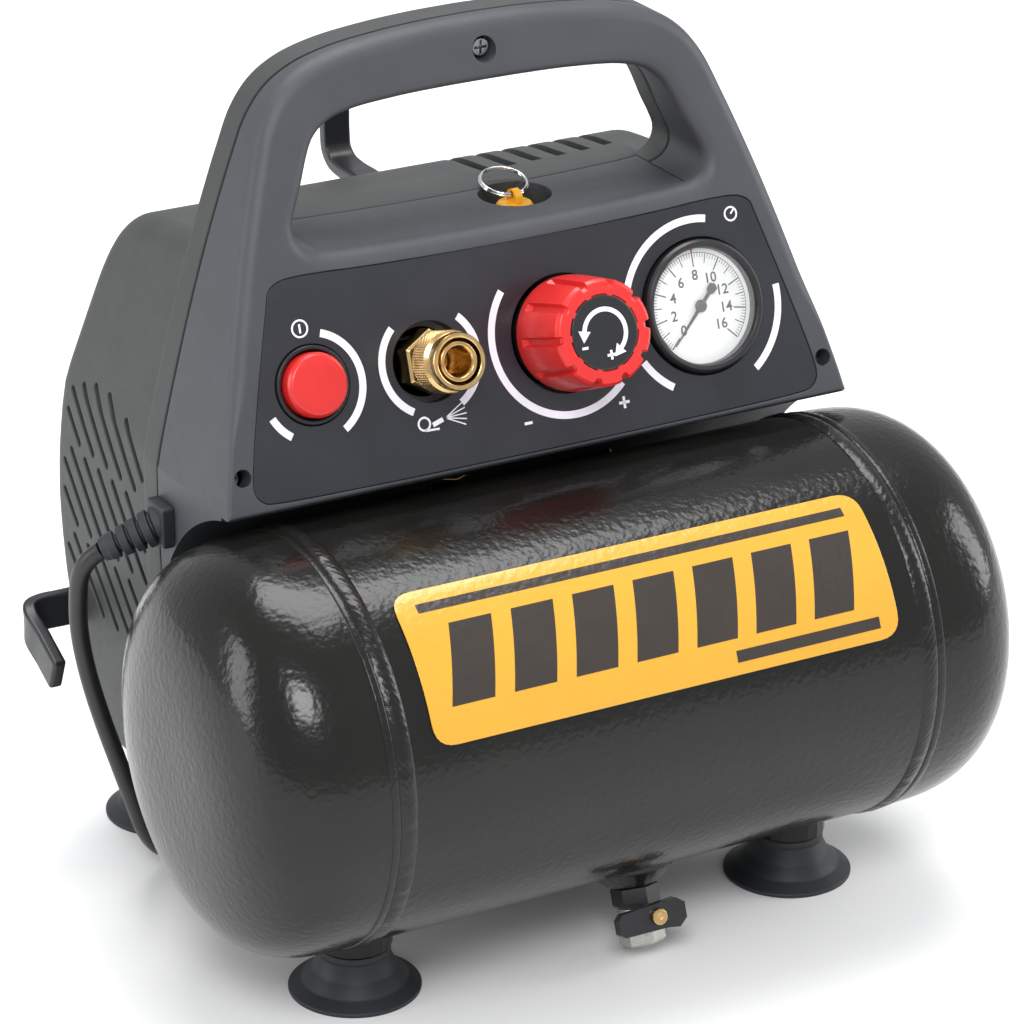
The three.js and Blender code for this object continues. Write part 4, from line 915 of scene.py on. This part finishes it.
def gbar(a, r0, r1, w, m=0, n=-2.55):
    c, s = math.cos(a), math.sin(a)
    p = np.array([[r0 * c + w / 2 * s, r0 * s - w / 2 * c, n], [r1 * c + w / 2 * s, r1 * s - w / 2 * c, n], [r1 * c - w / 2 * s, r1 * s + w / 2 * c, n], [r0 * c - w / 2 * s, r0 * s + w / 2 * c, n]])
    i = g.add(GP(p))
    g.f.append(tuple(i))
    g.mi.append(m)


for i in range(0, 161):
    v = i / 10
    a = math.radians(225 - 270 * v / 16)
    if i % 20 == 0:
        gbar(a, 15.2, 20.6, 0.55)
    elif i % 10 == 0:
        gbar(a, 16.6, 20.6, 0.4)
    elif i % 2 == 0:
        gbar(a, 18.8, 20.6, 0.22)
for a0, a1, r, m in ((225, -45, 20.7, 0),):
    aa = np.radians(np.linspace(a0, a1, 120))
    g.strip([GP(np.stack([q * np.cos(aa), q * np.sin(aa), np.full(120, -2.55)], 1)) for q in (r - 0.12, r + 0.12)], closed=False, m=m)
gbar(math.radians(225 - 270 * 8 / 16), 20.7, 22.2, 0.9, 1)
put(g, "gauge_print", [DINK, DRED], fix=False)


def words(name, items, material, xf, size, body="base"):
    m = Mesh()
    for text, x, y, sz in items:
        cu = bpy.data.curves.new("t", "FONT")
        cu.body, cu.size = text, sz
        cu.align_x, cu.align_y = "CENTER", "CENTER"
        cu.resolution_u = 3
        cu.offset = 0.10
        ob = bpy.data.objects.new("t", cu)
        bpy.context.collection.objects.link(ob)
        dg = bpy.context.evaluated_depsgraph_get()
        ev = ob.evaluated_get(dg)
        me = ev.to_mesh()
        vs = np.array([tuple(v.co) for v in me.vertices])
        fs = [tuple(p.vertices) for p in me.polygons]
        ev.to_mesh_clear()
        bpy.data.objects.remove(ob)
        bpy.data.curves.remove(cu)
        base = len(m.v)
        m.add(xf(np.stack([vs[:, 0] + x, vs[:, 1] + y, np.full(len(vs), size)], 1)))
        for f in fs:
            m.f.append(tuple(base + i for i in f))
            m.mi.append(0)
    put(m, name, material, body=body, fix=False)


nums = []
for v in range(0, 17, 2):
    a = math.radians(225 - 270 * v / 16)
    nums.append((str(v), 11.9 * math.cos(a), 11.9 * math.sin(a), 5.6))
words("gauge_numbers", nums, DINK, GP, -2.54)
g = Mesh()
lathe(g, fillet([(0, 1.0), (22.2, 1.0, 0.1), (22.2, 1.9, 0.2), (12, 2.3, 2), (0, 2.4)], 0.2, 4), at_panel(76, 0.3), 96)
put(g, "gauge_window", LENS, node="gauge_lens")
g = Mesh()
rot = math.radians(135)


def needle_xf(p):
    p = np.asarray(p, float)
    x = p[:, 0] * math.cos(rot) - p[:, 1] * math.sin(rot)
    y = p[:, 0] * math.sin(rot) + p[:, 1] * math.cos(rot)
    return GP(np.stack([x, y, p[:, 2]], 1))


np_ = fillet([(-0.16, 19.3), (-0.75, 0), (-0.7, -6), (-1.7, -7.2), (-1.9, -9.6), (0, -10.6), (1.9, -9.6), (1.7, -7.2), (0.7, -6), (0.75, 0), (0.16, 19.3)], 0.2, 3, True)
if np.sum(np_[:, 0] * np.roll(np_[:, 1], -1) - np.roll(np_[:, 0], -1) * np_[:, 1]) < 0:
    np_ = np_[::-1]
g.fill([np_], lambda p: needle_xf(np.c_[p, np.full(len(p), -1.1)]))
g.strip([needle_xf(np.c_[np_, np.full(len(np_), -1.6)]), needle_xf(np.c_[np_, np.full(len(np_), -1.1)])])
lathe(g, fillet([(0, -3.5), (1.0, -3.5), (1.0, -1.7), (2.5, -1.7, 0.3), (2.5, -0.9, 0.5), (1.4, -0.3, 0.4), (0, -0.3)], 0.2, 4), needle_xf, 48)
put(g, "gauge_pointer", BLACK, body="gauge_needle", node="gauge_needle")

# ------------------------------------------------------------------ regulator
g = Mesh()
lathe(g, fillet([(8.4, -1.5), (8.4, 1.2), (19.4, 1.2, 0.6), (20.9, 0.2, 0.4), (20.9, -3.4), (8.4, -3.5)], 0.3, 4), at_panel(15, 0.5), 12 * 6,
      rfun=lambda r, h, a: r if False else np.where(r > 12, r * (math.cos(math.pi / 12) / np.cos((a + math.pi / 12) % (math.pi / 6) - math.pi / 12)) ** 0.9, r))
put(g, "regulator_ring_nut", BLACK, node="regulator_nut")


def rib(r, h, a):
    if h < 6.5 or r < 14.6:
        return np.full(len(a), float(r))
    k = (a / (2 * math.pi) * 10 + 0.5) % 1 - 0.5
    w = np.clip((0.145 - np.abs(k)) / 0.05, 0, 1)
    w = w * w * (3 - 2 * w)
    return r - 1.9 * w * min(1.0, (h - 6.5) / 2.0)


g = Mesh()
prof = fillet([(8.5, 15), (8.5, 2.2), (18.4, 2.2), (18.6, 1.8, 0.2), (21.9, 1.8, 0.6), (22.15, 6.4, 0.3), (22.1, 8.5, 0.2), (21.6, 16, 0.2), (20.9, 24, 0.2), (20.3, 30.0, 1.4), (18.9, 31.5, 1.0), (14.6, 31.5, 0.4), (14.4, 30.6, 0.1), (0, 30.6)], 0.4, 6)
lathe(g, prof, at_panel(15, 0.5), 360, rfun=rib)
put(g, "regulator_grip", RED, body="regulator_knob", node="regulator_knob", angle=38)
g = Mesh()
lathe(g, fillet([(0, 30.65), (14.1, 30.65), (14.1, 31.5, 0.35), (13.3, 31.7, 0.4), (0, 31.7)], 0.2, 4), at_panel(15, 0.5), 96)
put(g, "regulator_cap", BLACK, body="regulator_knob", node="regulator_knob_cap")
g = Mesh()
KP = at_panel(15, 0.5)
aa = np.radians(np.linspace(168, -48, 60))
g.strip([KP(np.stack([q * np.cos(aa), q * np.sin(aa), np.full(60, 31.75)], 1)) for q in (7.9, 9.7)], closed=False)


def tri(a, sgn):
    a = math.radians(a)
    c, s = math.cos(a), math.sin(a)
    t = np.array([-s, c]) * sgn
    o = np.array([c, s]) * 8.8
    q = [o - np.array([c, s]) * 2.6, o + np.array([c, s]) * 2.6, o + t * 4.4]
    i = g.add(KP(np.array([[*p, 31.75] for p in q])))
    g.f.append(tuple(i))
    g.mi.append(0)


tri(168, 1)
tri(-48, -1)
for x0, y0, x1, y1 in ((-10.6, -4.4, -8.0, -4.4), (-0.5, -8.6, 3.1, -8.6), (1.3, -10.4, 1.3, -6.8)):
    a, b = np.array([x0, y0]), np.array([x1, y1])
    u = (b - a) / np.linalg.norm(b - a)
    v = np.array([-u[1], u[0]]) * 0.5
    i = g.add(KP(np.array([[*(a - v), 31.75], [*(b - v), 31.75], [*(b + v), 31.75], [*(a + v), 31.75]])))
    g.f.append(tuple(i))
    g.mi.append(0)
put(g, "regulator_print", PRINT, body="regulator_knob", fix=False)

# ------------------------------------------------------------------ quick coupler
hexr = lambda r, h, a: np.where((r > 11) & (h < 4.2), r * 0.866 / np.cos((a + math.pi / 6) % (math.pi / 3) - math.pi / 6), r)
g = Mesh()
prof = fillet([(5.4, -11), (5.4, 22.9, 0.6), (6.1, 23.9, 0.4), (7.4, 24.0, 0.4), (8.3, 22.0, 0.3), (8.3, 4.0), (11.2, 4.0, 0.5), (12.5, 3.2, 0.5), (12.5, -4.8), (8, -5), (8, -35.4), (0, -35.4)], 0.3, 4)
lathe(g, prof, at_panel(-43, 0), 192, rfun=hexr)
lathe(g, [(5.4, -11), (0, -11)], at_panel(-43, 0), 48)
put(g, "coupler_core", BRASS, node="coupler_body", angle=35)
g = Mesh()


def knurl(r, h, a):
    if 8.4 < h < 17.4 and r > 11:
        return r - 0.46 * (0.5 - 0.5 * np.cos(36 * a + 3.0 * h)) - 0.46 * (0.5 - 0.5 * np.cos(36 * a - 3.0 * h))
    return np.full(len(a), float(r))


pr = [(8.9, 24.3), (8.9, 7.9), (10.9, 7.7), (11.6, 8.0)] + [(11.85, h) for h in np.linspace(8.5, 17.3, 34)] + [(11.7, 17.8), (10.9, 18.3), (10.1, 18.7), (10.1, 19.3), (10.6, 19.7), (10.85, 20.1), (10.85, 23.9), (10.5, 24.4), (9.2, 24.5), (8.9, 24.3)]
lathe(g, pr, at_panel(-43, 0), 352, rfun=knurl)
put(g, "coupler_collar", BRASS, body="coupler_sleeve", node="coupler_sleeve", angle=50)
g = Mesh()
lathe(g, fillet([(0, 6.0), (2.0, 6.0, 0.4), (3.2, 5.2, 0.3), (4.8, 5.0, 0.4), (4.85, 2.2, 0.3), (2, 2), (2, -5.9), (0, -5.9)], 0.3, 4), at_panel(-43, 0), 64)
put(g, "coupler_valve", BRASS, body="coupler_poppet", node="coupler_poppet")

# ------------------------------------------------------------------ safety valve
g = Mesh()
lathe(g, fillet([(0, 263.6), (6.7, 263.6), (6.7, 262.5), (7.35, 262.5, 0.2), (7.35, 270.2, 0.8), (6.4, 271.4, 0.6), (3.2, 271.6, 0.8), (0, 271.6)], 0.3, 5), at(18, 77, 0), 72,
      rfun=lambda r, h, a: np.where((r > 7) & (h < 270), r - 0.25 * (0.5 - 0.5 * np.cos(24 * a)), r))
ey = fillet([(73.2, 271.0), (80.8, 271.0), (80.6, 275.2, 2.4), (77, 277.1, 3), (73.4, 275.2, 2.4)], 1.5, 6, True)
hole = circ(77, 274.4, 1.7, 32)
for x in (16.5, 19.5):
    g.fill([ey, hole], lambda p, x=x: np.stack([np.full(len(p), x), p[:, 0], p[:, 1]], 1))
g.strip([np.stack([np.full(len(ey), x), ey[:, 0], ey[:, 1]], 1) for x in (16.5, 19.5)])
g.strip([np.stack([np.full(len(hole), x), hole[:, 0], hole[:, 1]], 1) for x in (16.5, 19.5)])
put(g, "valve_cap", YELLOW, body="safety_valve_cap", node="safety_valve_cap")
g = Mesh()
t = 0.28
for z_off, ra in ((-0.42, 9.35), (0.42, 9.05)):
    loops = []
    for a in np.linspace(0, 2 * math.pi, 96, endpoint=False):
        ring_ = []
        for b in np.linspace(0, 2 * math.pi, 14, endpoint=False):
            r = ra + 0.5 * math.cos(b)
            x, y, z = r * math.cos(a), r * math.sin(a), 0.5 * math.sin(b) + z_off
            ring_.append([18 + x, 77 + 8.86 + y * math.cos(t) - z * math.sin(t), 276.95 + y * math.sin(t) + z * math.cos(t)])
        loops.append(np.array(ring_))
    g.strip(loops + [loops[0]], True)
put(g, "valve_ring", CHROME, body="safety_valve_ring", node="safety_valve_ring", weighted=False)


# ------------------------------------------------------------------ cord hooks
def bar_sweep(g, path, side, a, b, rc=1.5, re=1.6):
    """a rounded flat bar along a path; side is the direction across its broad face"""
    P = spline(path, 1.2)
    T = np.gradient(P, axis=0)
    T /= np.linalg.norm(T, axis=1)[:, None]
    S = np.array(side, float)
    sec = fillet([(-a, -b), (a, -b), (a, b), (-a, b)], rc, 5, True)
    left = np.linalg.norm(P - P[-1], axis=1)
    frames = [(p, t, 0.0) for p, t, d in zip(P, T, left) if d > re]
    for q in np.linspace(0, math.pi / 2, 7):
        frames.append((P[-1] - T[-1] * re * (1 - math.sin(q)), T[-1], re * (1 - math.cos(q))))
    loops = []
    for p, t, d in frames:
        h = S - (S @ t) * t
        h /= np.linalg.norm(h)
        n = np.cross(t, h)
        q = offset(sec, d) if d else sec
        loops.append(p + q[:, :1] * n + q[:, 1:2] * h)
    c = loops[-1].mean(0)
    loops.append(c + (loops[-1] - c) * 0.004)
    g.strip(loops)


g = Mesh()
bar_sweep(g, [(-129.5, 173, 96), (-138, 173, 96), (-145.5, 173, 96), (-150.3, 171.4, 95.5), (-152.5, 167.2, 93.6), (-152.5, 155, 88.2), (-152.5, 141.6, 82.2)], (0, 0, 1), 2.8, 7.4)
put(g, "hook_lower", BLACK, node="cord_hook_lower")
g = Mesh()
bar_sweep(g, [(0, 157, 256.5), (0, 170, 256.5), (0, 181, 256.5), (0, 188.8, 258.0), (0, 193.0, 262.0), (0, 194.0, 268), (0, 194.0, 280), (0, 194.0, 291.4)], (1, 0, 0), 2.8, 5.9)
put(g, "hook_upper", BLACK, node="cord_hook_upper")

# ------------------------------------------------------------------ drain valve, square to the tank skin
DT = math.radians(20.5)


def drain_xf(p):
    p = np.asarray(p, float)
    return np.stack([p[:, 0] + 11, p[:, 1] * math.cos(DT) + p[:, 2] * math.sin(DT),
                     -p[:, 1] * math.sin(DT) + p[:, 2] * math.cos(DT) + TZ], 1)


hexa = lambda r, h, a: np.where(r > 7, r * 0.866 / np.cos((a + math.pi / 6) % (math.pi / 3) - math.pi / 6), r)
g = Mesh()
lathe(g, fillet([(5.2, -84.6), (5.4, -85.0), (10.5, -85.0, 0.9), (16.4, -79.3, 1.5), (17.0, -77.2)], 0.3, 6), drain_xf, 96,
      rfun=lambda r, h, a: r + 0.12 * np.sin(23 * a + h) * (1 if 11 < r < 16.5 else 0))
put(g, "drain_weld_boss", BEAD, node="drain_boss")
g = Mesh()
lathe(g, fillet([(4.6, -85.5), (8.6, -85.5, 0.3), (9.4, -86.3, 0.5), (9.4, -92.9, 0.5), (8.6, -93.7, 0.3), (4.6, -93.7)], 0.3, 4), drain_xf, 144, rfun=hexa, m=1)
lathe(g, fillet([(4.5, -77), (4.5, -94)], 0.1, 2), drain_xf, 48)
lathe(g, fillet([(5.5, -93.8), (7.9, -93.8, 0.4), (7.9, -100.6, 0.4), (7.0, -101.2, 0.3), (7.0, -101.6)], 0.3, 4), drain_xf, 96)
lathe(g, fillet([(6.0, -101.4), (8.3, -101.4, 0.3), (9.0, -102.2, 0.5), (9.0, -107.8, 0.5), (8.2, -108.8, 0.4), (3.6, -108.9, 0.4), (3.0, -108.2, 0.3), (3.0, -96)], 0.3, 4), drain_xf, 144, rfun=hexa)
side_xf = lambda p: drain_xf(np.stack([np.asarray(p)[:, 0], -np.asarray(p)[:, 2], np.asarray(p)[:, 1] - 97.2], 1))
lathe(g, fillet([(4.5, 5), (4.5, 10.7, 0.4), (2.3, 10.9, 0.2), (2.3, 4)], 0.2, 3), side_xf, 48)
put(g, "drain_cock", [NICKEL, BLACK], node="drain_valve_body", angle=35)


# ------------------------------------------------------------------ CAD pieces that keep their own shape
def keep(node, material, bevel=0.0, seg=2, angle=30):
    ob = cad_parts[node]
    if not ob.material_slots:
        ob.data.materials.append(material)
    for s in ob.material_slots:
        s.material = material
    if bevel:
        wl = ob.modifiers.new("join", "WELD")
        wl.merge_threshold = 2e-6
        b = ob.modifiers.new("edge", "BEVEL")
        b.width, b.segments, b.limit_method, b.angle_limit = bevel * MM, seg, "ANGLE", math.radians(angle)
        b.harden_normals = False
        w = ob.modifiers.new("wn", "WEIGHTED_NORMAL")
        w.keep_sharp = True


for n in ("foot_boss_front_left", "foot_boss_front_right", "rear_support_frame"):
    keep(n, TANK, 0.6)
keep("drain_valve_lever", BLACK, 0.6)
keep("drain_lever_screw", BRASS, 0.2)
for n in ("fascia_screw_left", "fascia_screw_right", "handle_screw"):
    keep(n, SCREW, 0.15)
keep("regulator_body", BLACK, 0.3)
for n in ("air_manifold", "crankcase", "cylinder", "cylinder_head", "piston_rod"):
    keep(n, ALLOY, 0.4)
keep("motor_stator", IRON, 0.3)
keep("motor_rotor", NICKEL, 0.2)
keep("cooling_fan", BLACK, 0.3)
keep("motor_mount", TANK, 0.3)
keep("discharge_tube", COPPER)
for n in ("tank_riser", "check_valve", "safety_valve_body"):
    keep(n, BRASS, 0.2)

# ------------------------------------------------------------------ floor and light
FLOOR = mat("floor_white", (0.90, 0.90, 0.90), 0.6, var=0.01, vscale=3, bumps=(("noise", 60, 0.02, 0.0002),))
fl = bpy.data.meshes.new("floor")
fl.from_pydata([(-9, -9, 0), (9, -9, 0), (9, 9, 0), (-9, 9, 0)], [], [(0, 1, 2, 3)])
fl.materials.append(FLOOR)
flo = bpy.data.objects.new("floor", fl)
bpy.context.collection.objects.link(flo)


def area(name, loc, aim, size, power, color=(1, 1, 1)):
    li = bpy.data.lights.new(name, "AREA")
    li.energy, li.shape, li.size, li.size_y, li.color = power, "RECTANGLE", size[0], size[1], color
    ob = bpy.data.objects.new(name, li)
    bpy.context.collection.objects.link(ob)
    ob.location = loc
    ob.rotation_mode = "QUATERNION"
    ob.rotation_quaternion = (Vector(loc) - Vector(aim)).to_track_quat("Z", "Y")


area("key", (-1.1, -1.9, 2.1), (0, 0, 0.15), (1.2, 0.9), 46)
area("top", (0.3, 0.4, 2.3), (0, 0, 0.2), (1.6, 1.0), 40)
area("right", (2.3, -0.7, 1.0), (0, 0, 0.15), (0.8, 1.5), 24)
area("left", (-2.4, 0.6, 0.9), (0, 0, 0.15), (0.7, 1.5), 18)
wd = bpy.data.worlds.new("studio")
wd.use_nodes = True
wd.node_tree.nodes["Background"].inputs[0].default_value = (0.97, 0.98, 1.0, 1)
wd.node_tree.nodes["Background"].inputs[1].default_value = 0.72
bpy.context.scene.world = wd
